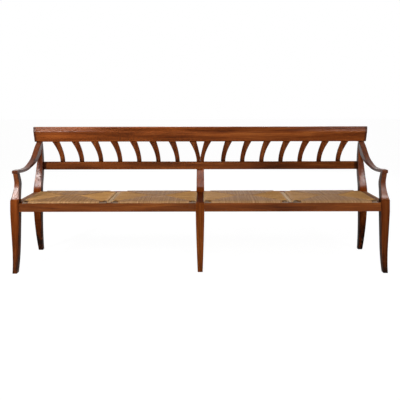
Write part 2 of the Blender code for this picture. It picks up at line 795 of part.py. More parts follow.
def side_rail(name, side, material):
    low_z, high_z = rail_levels()
    ends = sorted((side * SIDE_RAIL_X[0], side * SIDE_RAIL_X[1]))
    item = box(name, (ends[0], LEG_REAR_Y + GAP, low_z), (ends[1], STILE_FRONT_Y - GAP, high_z),
               material)
    add(item, side_rail_tenons(side))
    cut(item, pocket_boxes(ends[0], ends[1]))
    return item


# Seat frames: four lists, with the side ones tenoned between the long ones
def seat_limits(edges):
    low = (edges[0] + SEAT_SIDE_CLEARANCE, POCKET_FRONT_Y + SEAT_SIDE_CLEARANCE)
    high = (edges[1] - SEAT_SIDE_CLEARANCE, POCKET_REAR_Y - SEAT_SIDE_CLEARANCE)
    return low, high


def list_levels():
    bottom = LEDGE_Z + GAP + RUSH_WRAP
    return bottom, bottom + LIST_HEIGHT


def side_list_rings(x, front_y, rear_y):
    bottom, top = list_levels()
    middle = (bottom + top) / 2

    def ring(y, half_w, half_h):
        return [Vector((x - half_w, y, middle - half_h)), Vector((x + half_w, y, middle - half_h)),
                Vector((x + half_w, y, middle + half_h)), Vector((x - half_w, y, middle + half_h))]

    tenon = (LIST_WIDTH / 4, LIST_HEIGHT / 4)
    full = (LIST_WIDTH / 2, LIST_HEIGHT / 2)
    stations = [(front_y - STUB_LENGTH, tenon), (front_y, tenon), (front_y, full),
                (rear_y, full), (rear_y, tenon), (rear_y + STUB_LENGTH, tenon)]
    return [ring(y, *size) for y, size in stations]


def side_list_tenon_box(x, y, direction):
    bottom, top = list_levels()
    middle = (bottom + top) / 2
    ends = sorted((y, y + direction * (STUB_LENGTH + GAP)))
    low = (x - LIST_WIDTH / 4, ends[0], middle - LIST_HEIGHT / 4)
    high = (x + LIST_WIDTH / 4, ends[1], middle + LIST_HEIGHT / 4)
    return low, high


def seat_frame(seat, edges, material):
    low, high = seat_limits(edges)
    bottom, top = list_levels()
    left, front = low[0] + RUSH_WRAP, low[1] + RUSH_WRAP
    right, rear = high[0] - RUSH_WRAP, high[1] - RUSH_WRAP
    centres = {"left": left + LIST_WIDTH / 2, "right": right - LIST_WIDTH / 2}
    shoulders = (front + LIST_WIDTH + GAP, rear - LIST_WIDTH - GAP)
    for name, x in centres.items():
        loft(seat + "_list_" + name, side_list_rings(x, *shoulders), material)
    for name, y, shoulder, direction in (("front", front, shoulders[0], -1),
                                         ("rear", rear - LIST_WIDTH, shoulders[1], 1)):
        item = box(seat + "_list_" + name, (left, y, bottom), (right, y + LIST_WIDTH, top), material)
        cut(item, [mortise(*side_list_tenon_box(x, shoulder, direction))
                   for x in centres.values()])


# Rush: a rounded pad with its corners left out, wrapped round the lists
def rush_drop(distance, half_height):
    if distance >= RUSH_ROLL:
        return 0.0
    across = 1 - distance / RUSH_ROLL
    return half_height * RUSH_EDGE_SHARE * (1 - (1 - across**2)**0.5)


def rush_stations(low, high, notch):
    edge = [0.0, RUSH_ROLL * 0.15, RUSH_ROLL * 0.45, RUSH_ROLL, notch]
    middle = [share(low + notch, high - notch, part) for part in (0.25, 0.5, 0.75)]
    return [low + step for step in edge] + middle + [high - step for step in reversed(edge)]


def rush_levels():
    return LEDGE_Z + GAP, RAIL_TOP + RUSH_STAND


def rush_seat(name, edges, material):
    low, high = seat_limits(edges)
    bottom, top = rush_levels()
    half_height = (top - bottom) / 2
    columns = rush_stations(low[0], high[0], NOTCH_LENGTH)
    rows = rush_stations(low[1], high[1], NOTCH_DEPTH)
    builder = bmesh.new()
    corners = {}

    def corner(column, row, upper):
        key = (column, row, upper)
        if key not in corners:
            x, y = columns[column], rows[row]
            drop = max(rush_drop(min(x - low[0], high[0] - x), half_height),
                       rush_drop(min(y - low[1], high[1] - y), half_height))
            u = (x - low[0]) / (high[0] - low[0])
            v = (y - low[1]) / (high[1] - low[1])
            crown = RUSH_CROWN * 16 * u * (1 - u) * v * (1 - v)
            z = top - drop + crown if upper else bottom + drop
            corners[key] = builder.verts.new((x, y, z))
        return corners[key]

    edge = 4
    last_column, last_row = len(columns) - 2, len(rows) - 2

    def filled(column, row):
        if column < 0 or row < 0 or column > last_column or row > last_row:
            return False
        at_side = column < edge or column > last_column - edge
        at_end = row < edge or row > last_row - edge
        return not (at_side and at_end)

    for column in range(last_column + 1):
        for row in range(last_row + 1):
            if not filled(column, row):
                continue
            square = [(column, row), (column + 1, row), (column + 1, row + 1), (column, row + 1)]
            builder.faces.new([corner(*place, True) for place in square])
            builder.faces.new([corner(*place, False) for place in reversed(square)])
            steps = ((0, -1), (1, 0), (0, 1), (-1, 0))
            for index, (dx, dy) in enumerate(steps):
                if filled(column + dx, row + dy):
                    continue
                start, end = square[index], square[(index + 1) % 4]
                builder.faces.new([corner(*start, False), corner(*end, False),
                                   corner(*end, True), corner(*start, True)])
    item = make_object(name, builder, material)
    cut(item, list_tunnels(low, high))
    shade_round(item)
    return item


def list_tunnels(low, high):
    bottom, top = list_levels()
    past = RUSH_WRAP
    sides = (RUSH_WRAP, RUSH_WRAP + LIST_WIDTH)
    tunnels = []
    for near, far in (sides, [high[1] - low[1] - place for place in reversed(sides)]):
        tunnels.append(((low[0] + NOTCH_LENGTH - past, low[1] + near, bottom),
                        (high[0] - NOTCH_LENGTH + past, low[1] + far, top)))
    for near, far in (sides, [high[0] - low[0] - place for place in reversed(sides)]):
        tunnels.append(((low[0] + near, low[1] + NOTCH_DEPTH - past, bottom),
                        (low[0] + far, high[1] - NOTCH_DEPTH + past, top)))
    return [mortise(*tunnel) for tunnel in tunnels]


def build_legs(wood):
    left_front, right_front = [
        end_front_leg("front_leg_" + name, side, wood) for name, side in (("left", -1), ("right", 1))]
    centre_rings = [centre_leg_ring(z) for z in leg_heights() + [RAIL_TOP]]
    centre_front = loft("front_leg_centre", centre_rings, wood)
    left_stile, right_stile = [
        end_stile("rear_stile_" + name, side, wood) for name, side in (("left", -1), ("right", 1))]
    middle_stile = centre_stile("rear_stile_centre", wood)
    for item, side in ((left_front, -1), (right_front, 1)):
        cut(item, [mortise(*long_rail_tenons(side, FRONT_TENON_Y, LEG_INNER_X)[1]),
                   mortise(*side_rail_tenons(side)[0])])
    for item, side in ((left_stile, -1), (right_stile, 1)):
        cut(item, [mortise(*long_rail_tenons(side, REAR_TENON_Y, REAR_INNER_X)[1]),
                   mortise(*side_rail_tenons(side)[1]), mortise(*back_rail_tenon_box(side, -STUB_LENGTH)),
                   mortise(*arm_tenon_box(side, -STUB_LENGTH))])
    cut(centre_front, [mortise(*long_rail_tenons(side, FRONT_TENON_Y, LEG_INNER_X)[0])
                       for side in (-1, 1)] + [mortise(*middle_cross_tenons()[0])])
    cut(middle_stile, [mortise(*long_rail_tenons(side, REAR_TENON_Y, REAR_INNER_X)[0])
                       for side in (-1, 1)] + [mortise(*middle_cross_tenons()[1])])


def build_rails(wood):
    for name, side in (("left", -1), ("right", 1)):
        long_rail("front_rail_" + name, side, FRONT_RAIL_Y, FRONT_TENON_Y, LEG_INNER_X, wood)
        long_rail("rear_rail_" + name, side, REAR_RAIL_Y, REAR_TENON_Y, REAR_INNER_X, wood)
        side_rail("side_rail_" + name, side, wood)
        cross_rail("cross_rail_" + name, side * CROSS_RAIL_X, CROSS_RAIL_LIP / 2, FRONT_RAIL_Y[1],
                   REAR_RAIL_Y[0], outer_cross_tenons(side), wood)
    cross_rail("cross_rail_centre", 0.0, POCKET_MIDDLE_X, LEG_REAR_Y, STILE_FRONT_Y,
               middle_cross_tenons(), wood)


def build_back(wood):
    crest_rail("crest_rail", wood)
    back_rail("lower_back_rail", wood)
    for name, side in (("left", -1), ("right", 1)):
        arm("arm_" + name, side, wood)
        for number in range(SLATS_PER_SIDE):
            slat("slat_" + name + "_" + str(number + 1), side, number, wood)


def build_seats(wood, rush):
    for index, edges in enumerate(pocket_edges()):
        seat = "seat_" + str(index + 1)
        seat_frame(seat, edges, wood)
        rush_seat(seat + "_rush", edges, rush)


def build_bench():
    clear_scene()
    walnut = make_material("polished_walnut", (0.24, 0.075, 0.028), 0.28)
    seat_wood = make_material("seat_frame_wood", (0.33, 0.20, 0.11), 0.55)
    rush = make_material("rush", (0.46, 0.29, 0.12), 0.75)
    build_legs(walnut)
    build_rails(walnut)
    build_back(walnut)
    build_seats(seat_wood, rush)


build_bench()
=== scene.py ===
# Looks of the long walnut bench: polished wood with its grain, and four woven rush seats,
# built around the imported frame. Metres, +Z up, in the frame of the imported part.

import math
import random

import bmesh
import bpy
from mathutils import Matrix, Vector


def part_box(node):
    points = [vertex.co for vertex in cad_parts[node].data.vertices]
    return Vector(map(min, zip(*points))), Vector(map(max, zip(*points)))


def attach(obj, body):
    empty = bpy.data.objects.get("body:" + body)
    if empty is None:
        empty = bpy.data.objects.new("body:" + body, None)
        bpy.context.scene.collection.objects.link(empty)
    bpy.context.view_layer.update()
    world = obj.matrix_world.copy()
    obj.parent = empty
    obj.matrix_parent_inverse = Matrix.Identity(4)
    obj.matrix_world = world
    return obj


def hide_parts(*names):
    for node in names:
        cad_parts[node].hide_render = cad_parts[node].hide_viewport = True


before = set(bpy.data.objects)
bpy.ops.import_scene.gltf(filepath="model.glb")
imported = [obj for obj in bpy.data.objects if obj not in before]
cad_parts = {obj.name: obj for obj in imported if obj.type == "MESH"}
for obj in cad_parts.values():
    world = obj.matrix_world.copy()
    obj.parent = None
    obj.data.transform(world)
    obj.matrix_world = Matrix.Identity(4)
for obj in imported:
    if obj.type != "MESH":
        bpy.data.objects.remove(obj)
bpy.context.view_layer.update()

# Plan of the frame
FRONT_SPAN = 2.477
REAR_INSET = 0.011
SEAT_DEPTH = 0.442

# Legs: the two at the front corners have slimmer feet, bow inwards and kick forward
LEG_WIDTH = 0.057
LEG_DEPTH = 0.055
FOOT_WIDTH = 0.033
FOOT_DEPTH = 0.034
LEG_TAPER_POWER = 1.35
CENTRE_FOOT_SETBACK = 0.018
CORNER_FOOT_WIDTH = 0.030
CORNER_FOOT_DEPTH = 0.040
CORNER_TAPER_POWER = 1.08
CORNER_BOW = 0.0078
CORNER_KICK = 0.008
FOOT_SWEEP = 0.095
FOOT_SPLAY = 0.006
BLOCK_RISE = 0.022

# Seat rails
RAIL_TOP = 0.454
RAIL_HEIGHT = 0.055
RAIL_INSET = 0.004
RAIL_LIP = 0.009
RAIL_LEDGE = 0.018
REAR_LIP = 0.020
CROSS_RAIL_LIP = 0.024
REBATE_DEPTH = 0.022

# Back
CREST_BOTTOM = 0.8165
CREST_HEIGHT = 0.111
CREST_THICKNESS = 0.028
CREST_TOP_THICKNESS = 0.024
CREST_OVERHANG = 0.0395
CREST_END_SLOPE = 0.18
CREST_FACE_BREAK = 0.075
CREST_LOWER_SLOPE = 0.12
CREST_UPPER_SLOPE = 0.52
BACK_RAKE = 0.092
STILE_TOP_WIDTH = 0.039
STILE_TAPER_POWER = 2.0
STILE_SPLAY = 0.006
STILE_TOP_DEPTH = 0.036
BACK_RAIL_BOTTOM = 0.611
BACK_RAIL_HEIGHT = 0.0565
BACK_RAIL_THICKNESS = 0.028

# Slats, counted from the middle outwards on each side; the middle pair has slimmer feet
SLATS_PER_SIDE = 8
SLAT_FOOT_WIDTH = 0.033
SLAT_PAIR_FOOT_WIDTH = 0.0275
SLAT_FLARE = 0.021
SLAT_FLARE_POWER = 2.2
SLAT_THICKNESS = 0.014
SLAT_FIRST_GAP = 0.171
SLAT_END_GAP = 0.137
SLAT_LEAN = 0.039
SLAT_LEAN_STEP = 0.0026
SLAT_LEAN_POWER = 1.7
SLAT_PAIR_JOIN = 0.20
SLAT_PAIR_OPENING = 0.0288
SLAT_PAIR_POWER = 1.1

# Arms and their supports
ARM_TOP = 0.668
ARM_REAR_HEIGHT = 0.8015
ARM_SETBACK = 0.015
ARM_FRONT_WIDTH = 0.038
ARM_WAIST_WIDTH = 0.036
ARM_REAR_WIDTH = 0.042
ARM_FRONT_THICKNESS = 0.022
ARM_OVERHANG = 0.005
SUPPORT_WIDTH = 0.033
SUPPORT_BASE_WIDTH = 0.055
SUPPORT_DEPTH = 0.054
SUPPORT_TOP_DEPTH = 0.040
SUPPORT_FOOT_DEPTH = 0.045
SUPPORT_SETBACK = 0.044
SUPPORT_NECK_SETBACK = 0.026
SUPPORT_TOP_SETBACK = 0.020
SUPPORT_FOOT_SETBACK = 0.006

# Lift-out seats
SEAT_SIDE_CLEARANCE = 0.0012
LIST_WIDTH = 0.026
LIST_HEIGHT = 0.016
RUSH_WRAP = 0.006
RUSH_STAND = 0.0105
RUSH_CROWN = 0.003
RUSH_ROLL = 0.016
NOTCH_LENGTH = 0.050
NOTCH_DEPTH = 0.052
GAP = 0.0003

# Rounding of the wood's edges, and how finely its forms are drawn
EDGE_ROUND = 0.0032
FINE_ROUND = 0.0016
ROUND_STEPS = 4
CURVE_STATIONS = 30
SLAT_STATIONS = 18
BOARD_STATIONS = 40

# Rush strands
STRAND_PITCH = 0.0056
STRAND_HALF_WIDTH = 0.0030
STRAND_HALF_HEIGHT = 0.0024
STRAND_SIDES = 7
STRAND_WAVE = 0.0005
SEAM_DIVE = 0.0052
SEAM_REACH = 0.012
ROLL_BLEND = (0.008, 0.020)

# Strand stations: from the seam to the roll on top, and from the roll to the seam below
TOP_STATIONS = (0.0, 0.012, 0.03, 0.07, 0.16, 0.32, 0.5, 0.68, 0.86)
UNDER_STATIONS = (0.25, 0.6, 0.9, 0.97, 1.0)

# Straw between the two layers of strands; its dark colour is partly painted shade
STUFFING_INSET = 0.0050
STUFFING_ROUND = 0.004
STUFFING_TONE = 0.1
STUFFING_COLOUR_AND_SHADE = (0.6, 0.5, 0.4)

# Bow of the corner legs: share of the height up to the rails, share of the bow
CORNER_SHAPE = [(0.00, 0.45), (0.12, 0.85), (0.25, 1.00), (0.40, 0.95), (0.70, 0.45),
                (1.00, 0.00)]

# Shape of the arm seen from the side: share of its reach, share of its rise
ARM_SHAPE = [
    (0.00, 0.000), (0.05, 0.000), (0.09, 0.000), (0.12, -0.006), (0.20, -0.036), (0.30, -0.055),
    (0.40, -0.051), (0.46, -0.037), (0.52, 0.007), (0.58, 0.067), (0.64, 0.141), (0.70, 0.222),
    (0.76, 0.333), (0.82, 0.502), (0.88, 0.692), (0.94, 0.870), (1.00, 1.000),
]

# Swelling of the arm: share of its reach, its thickness against that of its front end
ARM_SWELL = [(0.00, 1.00), (0.07, 1.00), (0.14, 1.00), (0.30, 0.90), (0.52, 0.92), (0.60, 1.15),
             (0.66, 1.36), (0.75, 1.75), (0.81, 2.20), (0.88, 2.65), (1.00, 2.85)]

# Outer edge of the end stiles seen from the front: share of the height above the seat,
# share of the splay. It draws in towards the arm and splays out above it.
STILE_EDGE = [(0.00, 0.00), (0.13, -0.15), (0.30, -0.30), (0.42, -0.42), (0.50, -0.60),
              (0.60, -0.95), (0.75, -0.50), (1.00, 1.00)]

# Lean of the stiles seen from the side: share of the height above the seat, share of
# the rake
STILE_SHAPE = [(0.00, 0.000), (0.05, 0.012), (0.10, 0.065), (0.20, 0.235), (0.30, 0.415),
               (0.40, 0.566), (0.50, 0.682), (0.70, 0.841), (1.00, 1.000)]

# Levels and places that follow from the sizes above
REAR_SPAN = FRONT_SPAN - 2 * REAR_INSET
CREST_TOP_LENGTH = REAR_SPAN + 2 * CREST_OVERHANG
RAIL_BOTTOM = RAIL_TOP - RAIL_HEIGHT
LEDGE_Z = RAIL_TOP - REBATE_DEPTH
BLOCK_TOP = RAIL_TOP + BLOCK_RISE
RUSH_BOTTOM = LEDGE_Z + GAP
RUSH_TOP = RAIL_TOP + RUSH_STAND
LIST_BOTTOM = RUSH_BOTTOM + RUSH_WRAP
LIST_TOP = LIST_BOTTOM + LIST_HEIGHT
BACK_RAIL_TOP = BACK_RAIL_BOTTOM + BACK_RAIL_HEIGHT
FRONT_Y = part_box("front_leg_centre")[0].y
LEG_INNER_X = FRONT_SPAN / 2 - LEG_WIDTH
REAR_INNER_X = REAR_SPAN / 2 - LEG_WIDTH
FRONT_LEG_X = FRONT_SPAN / 2 - LEG_WIDTH / 2
REAR_LEG_X = REAR_SPAN / 2 - LEG_WIDTH / 2
SLAT_PITCH = (REAR_INNER_X - SLAT_END_GAP - SLAT_FIRST_GAP) / (SLATS_PER_SIDE - 2)
ARM_UNDERSIDE = ARM_TOP - ARM_FRONT_THICKNESS
POCKET_PAST_LEG = RUSH_WRAP + SEAT_SIDE_CLEARANCE - 2 * GAP
POCKET_FRONT_Y = FRONT_Y + RAIL_INSET + RAIL_LIP
REAR_RAIL_FRONT_Y = FRONT_Y + SEAT_DEPTH + RAIL_INSET
POCKET_REAR_Y = REAR_RAIL_FRONT_Y + RAIL_LEDGE
POCKET_END_X = min(LEG_INNER_X, REAR_INNER_X) + POCKET_PAST_LEG
POCKET_MIDDLE_X = LEG_WIDTH / 2 - POCKET_PAST_LEG
CROSS_RAIL_X = (POCKET_END_X + POCKET_MIDDLE_X) / 2
FRONT_RAIL_Y = (FRONT_Y + RAIL_INSET, POCKET_FRONT_Y + RAIL_LEDGE)
REAR_RAIL_Y = (REAR_RAIL_FRONT_Y, POCKET_REAR_Y + REAR_LIP)
SIDE_RAIL_X = (POCKET_END_X - RAIL_LEDGE, REAR_SPAN / 2 - RAIL_INSET)
LEG_REAR_Y = FRONT_Y + LEG_DEPTH
STILE_FRONT_Y = FRONT_Y + SEAT_DEPTH
CREST_FRONT_Y = STILE_FRONT_Y + BACK_RAKE + (STILE_TOP_DEPTH - CREST_THICKNESS) / 2

# Strength of the polish, and the share of it that each kind of face has
GLOSS_LEVEL = 0.42
BOARD_GLOSS = 0.22
FLAT_GLOSS = 0.04
SIDE_GLOSS = 0.10
LEG_GLOSS = 0.02
ARM_GLOSS = 0.40
CENTRE_GLOSS = 0.55
CREST_END_GLOSS = 0.60

# Supports and stiles are brightest between two heights: share there, share above
SUPPORT_GLOSS = (1.3, 0.35)
SUPPORT_SHINE = (BLOCK_TOP, 0.565)
STILE_GLOSS = (1.2, 0.70)
STILE_SHINE = (0.4926, 0.560)

# Distance from the middle over which the upper face of the crest comes to shine
CREST_SHINE_X = (0.55, 1.15)

# Darkness of the legs: painted shade on their inner sides, and darker feet as (height, strength)
INNER_SIDE_PAINTED_SHADE = 1.1
CORNER_FOOT_DARKENING = (0.25, 1.1)
CENTRE_FOOT_DARKENING = (0.20, 0.5)
# The rear feet, which stand under the seat, are darker still, partly as painted shade
REAR_FOOT_DARKENING_AND_SHADE = (0.36, 2.2)

# Painted shade at the ends of the crest rail and of the lower back rail, and at the slats' feet
END_SHADE_WIDTH = 0.014
RAIL_SHADE_WIDTH = 0.024
END_BLEND = 0.006
SLAT_SHADE_HEIGHT = 0.040

# Camera: the level of the eye is at CAMERA_ROW, and straight ahead is at CAMERA_COLUMN
PICTURE_PIXELS = 400
CAMERA_FOCAL_PIXELS = 531.0
CAMERA_ROW = 101.5
CAMERA_COLUMN = 202.75
CAMERA_HEIGHT = 1.118
CAMERA_DISTANCE = 3.46
CAMERA_X = 0.019
CAMERA_ROLL = 0.11

# Studio: white of the floor, how much of it glows, what it throws back, and the soft
# light of the world in front of the bench and behind it
FLOOR_REACH = 30.0
FLOOR_WHITE = 1.06
FLOOR_GLOW = 0.90
FLOOR_BOUNCE = 0.35
FRONT_LIGHT = 0.50
REAR_LIGHT = 0.20

# Lamps: name, place, target, size, power, spread in degrees
LAMPS = [
    ("front", (0.0, -4.6, 3.0), (0.0, 0.0, 0.5), (2.6, 1.2), 130.0, 180.0),
    ("rear", (0.6, 4.6, 1.6), (0.0, 0.4, 0.6), (2.6, 1.2), 34.0, 180.0),
    ("left", (-2.5, -3.6, 3.4), (-1.2, -0.1, 0.5), (0.6, 1.9), 9.0, 40.0),
    ("right", (2.6, -3.4, 3.8), (1.2, -0.1, 0.5), (0.5, 0.6), 2.4, 40.0),
]

SIDES = (("left", -1), ("right", 1))
X_AXIS = Vector((1.0, 0.0, 0.0))
Y_AXIS = Vector((0.0, 1.0, 0.0))
Z_AXIS = Vector((0.0, 0.0, 1.0))


def share(start, end, part):
    return start + (end - start) * part


# Value at a place on a smooth curve through (place, value) points
def smooth_value(points, place):
    last = len(points) - 1
    place = min(max(place, points[0][0]), points[last][0])
    index = 0
    while index < last - 1 and place > points[index + 1][0]:
        index += 1

    def slope(at):
        before = points[max(at - 1, 0)]
        after = points[min(at + 1, last)]
        return (after[1] - before[1]) / (after[0] - before[0])

    (start, low), (end, high) = points[index], points[index + 1]
    span = end - start
    t = (place - start) / span
    return (low * (2 * t**3 - 3 * t**2 + 1) + high * (3 * t**2 - 2 * t**3)
            + slope(index) * span * (t**3 - 2 * t**2 + t)
            + slope(index + 1) * span * (t**3 - t**2))


def evenly(start, end, steps):
    return [share(start, end, step / steps) for step in range(steps + 1)]


# Node graphs are written as calls: each makes a node, sets its inputs and links them
class Graph:
    def __init__(self, owner):
        owner.use_nodes = True
        self.owner = owner
        self.tree = owner.node_tree
        self.shader = self.tree.nodes.get("Principled BSDF")

    def set(self, node, socket, value):
        target = node.inputs[socket]
        if isinstance(value, bpy.types.NodeSocket):
            self.tree.links.new(value, target)
        else:
            target.default_value = value

    def node(self, kind, inputs=None, **settings):
        node = self.tree.nodes.new(kind)
        for name, value in settings.items():
            setattr(node, name, value)
        for socket, value in (inputs or {}).items():
            self.set(node, socket, value)
        return node

    def attribute(self, name, output):
        return self.node("ShaderNodeAttribute", attribute_name=name).outputs[output]

    def scaled(self, vector, scale):
        return self.node("ShaderNodeVectorMath", {0: vector, 1: scale},
                         operation="MULTIPLY").outputs["Vector"]

    def noise(self, vector, stretch, detail=3.0, roughness=0.55):
        return self.node("ShaderNodeTexNoise", {
            "Vector": self.scaled(vector, stretch), "Scale": 1.0, "Detail": detail,
            "Roughness": roughness}).outputs["Fac"]

    def math(self, operation, first, second, clamp=False):
        return self.node("ShaderNodeMath", {0: first, 1: second}, operation=operation,
                         use_clamp=clamp).outputs["Value"]

    def blend(self, *parts):
        scaled = [self.math("MULTIPLY", value, weight) for value, weight in parts]
        total = scaled[0]
        for value in scaled[1:]:
            total = self.math("ADD", total, value)
        return total

    def levels(self, value, low, high, to_low=0.0, to_high=1.0):
        return self.node("ShaderNodeMapRange", {
            "Value": value, "From Min": low, "From Max": high, "To Min": to_low,
            "To Max": to_high}).outputs["Result"]

    def mix(self, factor, first, second, blend="MIX"):
        node = self.node("ShaderNodeMix", data_type="RGBA", blend_type=blend)
        self.set(node, "Factor", factor)
        self.set(node, 6, first)
        self.set(node, 7, second)
        return node.outputs[2]

    def ramp(self, value, stops):
        node = self.node("ShaderNodeValToRGB", {"Fac": value})
        elements = node.color_ramp.elements
        while len(elements) < len(stops):
            elements.new(1.0)
        for element, (place, colour) in zip(elements, stops):
            element.position = place
            element.color = (*colour, 1.0)
        return node.outputs["Color"]

    def bump(self, height, strength, distance):
        return self.node("ShaderNodeBump", {"Height": height, "Strength": strength,
                                            "Distance": distance}).outputs["Normal"]

    def surface(self, sockets):
        for socket, value in sockets.items():
            self.set(self.shader, socket, value)
        return self.owner


# Polished wood: long streaks, growth bands, fine fibres and short pores along the grain
def wood_material(name, colours, roughness, coat, pore_depth):
    graph = Graph(bpy.data.materials.new(name))
    grain = graph.attribute("grain", "Vector")
    sway = graph.noise(grain, (1.1, 7.0, 7.0), 2.0)
    bent = graph.node("ShaderNodeVectorMath", {0: grain, 1: graph.scaled(
        graph.node("ShaderNodeCombineXYZ", {"Y": sway, "Z": sway}).outputs["Vector"],
        (0.0, 0.050, 0.050))}, operation="ADD").outputs["Vector"]
    streaks = graph.noise(bent, (1.6, 26.0, 26.0), 4.0, 0.6)
    bands = graph.noise(bent, (2.6, 120.0, 120.0), 3.0, 0.6)
    fibres = graph.noise(bent, (16.0, 620.0, 620.0), 3.0, 0.7)
    pores = graph.noise(bent, (60.0, 1500.0, 1500.0), 1.0, 0.5)
    tone = graph.blend((streaks, 0.55), (bands, 0.30), (fibres, 0.15))
    colour = graph.ramp(graph.levels(tone, 0.36, 0.64), colours)
    patches = graph.levels(graph.noise(grain, (2.2, 9.0, 9.0), 2.0), 0.35, 0.68)
    colour = graph.mix(graph.math("MULTIPLY", patches, 0.45), colour,
                       graph.mix(1.0, colour, (1.30, 1.18, 0.98, 1.0), "MULTIPLY"))
    pore = graph.levels(pores, 0.62, 0.72)
    colour = graph.mix(graph.math("MULTIPLY", pore, 0.35), colour, (0.030, 0.010, 0.005, 1.0))
    colour = graph.mix(1.0, colour, graph.attribute("tint", "Color"), "MULTIPLY")
    # Darker towards the feet, and painted shade on the inner sides of legs and stiles
    scuffs = graph.levels(graph.noise(grain, (14.0, 34.0, 34.0), 4.0, 0.65), 0.30, 0.62)
    darkening_and_shade_factor = graph.math("MULTIPLY", graph.attribute("darkening_and_shade", "Fac"), scuffs, clamp=True)
    colour = graph.mix(darkening_and_shade_factor, colour, (0.018, 0.009, 0.006, 1.0))
    smudges = graph.noise(grain, (9.0, 22.0, 22.0))
    relief = graph.blend((fibres, 0.4), (pore, -pore_depth))
    return graph.surface({
        "Base Color": colour,
        "Roughness": graph.levels(smudges, 0.3, 0.7, roughness - 0.06, roughness + 0.10),
        "Specular IOR Level": graph.blend((graph.attribute("gloss", "Fac"), GLOSS_LEVEL)),
        "Coat Weight": coat,
        "Coat Roughness": 0.16,
        "Normal": graph.bump(relief, 0.25, 0.0004),
    })


# Rush: each strand has its own tone, streaks along it, and twist lines darkened as painted shade
def rush_material(name):
    graph = Graph(bpy.data.materials.new(name))
    strand = graph.attribute("strand", "Vector")
    parts = graph.node("ShaderNodeSeparateXYZ", {"Vector": strand})
    along, around, number = parts.outputs["X"], parts.outputs["Y"], parts.outputs["Z"]
    tone = graph.attribute("tone", "Fac")
    fibre = graph.noise(strand, (60.0, 9.0, 7.0), 4.0, 0.65)
    stain = graph.noise(strand, (7.0, 0.6, 0.9))
    turn = graph.math("PINGPONG", graph.blend((along, 95.0), (around, 1.0), (number, 0.37)), 0.5)
    crease = graph.levels(turn, 0.0, 0.16, 1.0, 0.0)
    streak = graph.math("SUBTRACT", fibre, 0.5)
    mixed = graph.blend((tone, 0.6), (stain, 0.4), (streak, 0.5))
    colour = graph.ramp(mixed, [(0.18, (0.200, 0.095, 0.034)), (0.42, (0.390, 0.205, 0.080)),
                                (0.62, (0.560, 0.315, 0.132)), (0.88, (0.760, 0.480, 0.225))])
    # Painted shade in the creases of the twist
    colour = graph.mix(graph.math("MULTIPLY", crease, 0.45), colour, (0.090, 0.045, 0.020, 1.0))
    colour = graph.mix(1.0, colour, graph.attribute("tint", "Color"), "MULTIPLY")
    relief = graph.blend((fibre, 0.5), (crease, -1.0))
    return graph.surface({
        "Base Color": colour,
        "Roughness": graph.levels(fibre, 0.3, 0.7, 0.50, 0.72),
        "Specular IOR Level": 0.15,
        "Normal": graph.bump(relief, 0.7, 0.0005),
    })


WALNUT_COLOURS = [(0.0, (0.060, 0.011, 0.002)), (0.35, (0.135, 0.026, 0.004)),
                  (0.68, (0.205, 0.043, 0.007)), (1.0, (0.290, 0.070, 0.011))]
LIST_COLOURS = [(0.0, (0.10, 0.050, 0.025)), (0.4, (0.15, 0.085, 0.045)),
                (0.7, (0.20, 0.125, 0.070)), (1.0, (0.26, 0.175, 0.105))]
walnut = wood_material("polished_walnut", WALNUT_COLOURS, 0.30, 0.0, 0.8)
list_wood = wood_material("seat_frame_wood", LIST_COLOURS, 0.48, 0.10, 1.0)
rush = rush_material("rush")

# Shades of single pieces against the common colour of the wood, by name; two are painted light
SHADES = {
    "arm_left": (0.62, 0.72, 0.90), "arm_right": (0.62, 0.72, 0.90),
    "crest_rail": (1.12, 1.34, 1.70), "lower_back_rail": (0.70, 0.90, 1.10),
    "front_rail_left": (0.84, 1.06, 1.40), "front_rail_right": (0.90, 1.15, 1.50),
    "front_leg_left": (0.95, 1.12, 1.50), "front_leg_centre": (1.12, 1.35, 1.60),
    # front_leg_right: darker as painted shade, for the weaker light on the right
    "front_leg_right": (0.66, 0.75, 1.10), "slat_left": (0.62, 0.74, 1.05),
    # cross_rail_centre: darker as a painted reflection of the dark centre stile behind it
    "slat_right": (0.62, 0.74, 1.05), "cross_rail_centre": (0.35, 0.30, 0.30),
}

# Shades of the strands that run front to back and of those that run from side to side
# Their difference is painted light, for how the light falls along or across the strands
LONG_STRAND_COLOUR_AND_LIGHT = (0.73, 0.66, 0.52)
SIDE_STRAND_COLOUR_AND_LIGHT = (0.85, 0.81, 0.66)

# Paler shade of the strands where they roll over the edge of a seat: a painted highlight
ROLL_PAINTED_HIGHLIGHT = (1.25, 1.40, 1.90)

# Painted shade at the ends of the crest rail and at the feet of the slats, the stiles' painted
# shadow at the ends of the lower back rail, and a painted reflection of the white studio that
# makes the tops of the cross rails and side rails paler
CREST_END_PAINTED_SHADE = (0.42, 0.45, 0.80)
BACK_RAIL_END_PAINTED_SHADOW = (0.40, 0.42, 0.80)
SLAT_FOOT_PAINTED_SHADE = (0.45, 0.50, 0.80)
CROSS_RAIL_TOP_PAINTED_REFLECTION = (2.60, 8.80, 31.0)
SIDE_RAIL_TOP_PAINTED_REFLECTION = (1.30, 2.80, 8.0)

# Kinds of vertex values, by how many numbers a vertex has
ATTRIBUTE_KINDS = {1: ("FLOAT", "value"), 3: ("FLOAT_VECTOR", "vector"),
                   4: ("FLOAT_COLOR", "color")}

draws = random.Random(11)


def add_item(name, data):
    item = bpy.data.objects.new(name, data)
    bpy.context.scene.collection.objects.link(item)
    return item


# One row of numbers for each vertex, which the materials read by name
def write_attribute(mesh, name, rows):
    kind, field = ATTRIBUTE_KINDS[len(rows[0])]
    values = [value for row in rows for value in row]
    mesh.attributes.new(name, kind, "POINT").data.foreach_set(field, values)


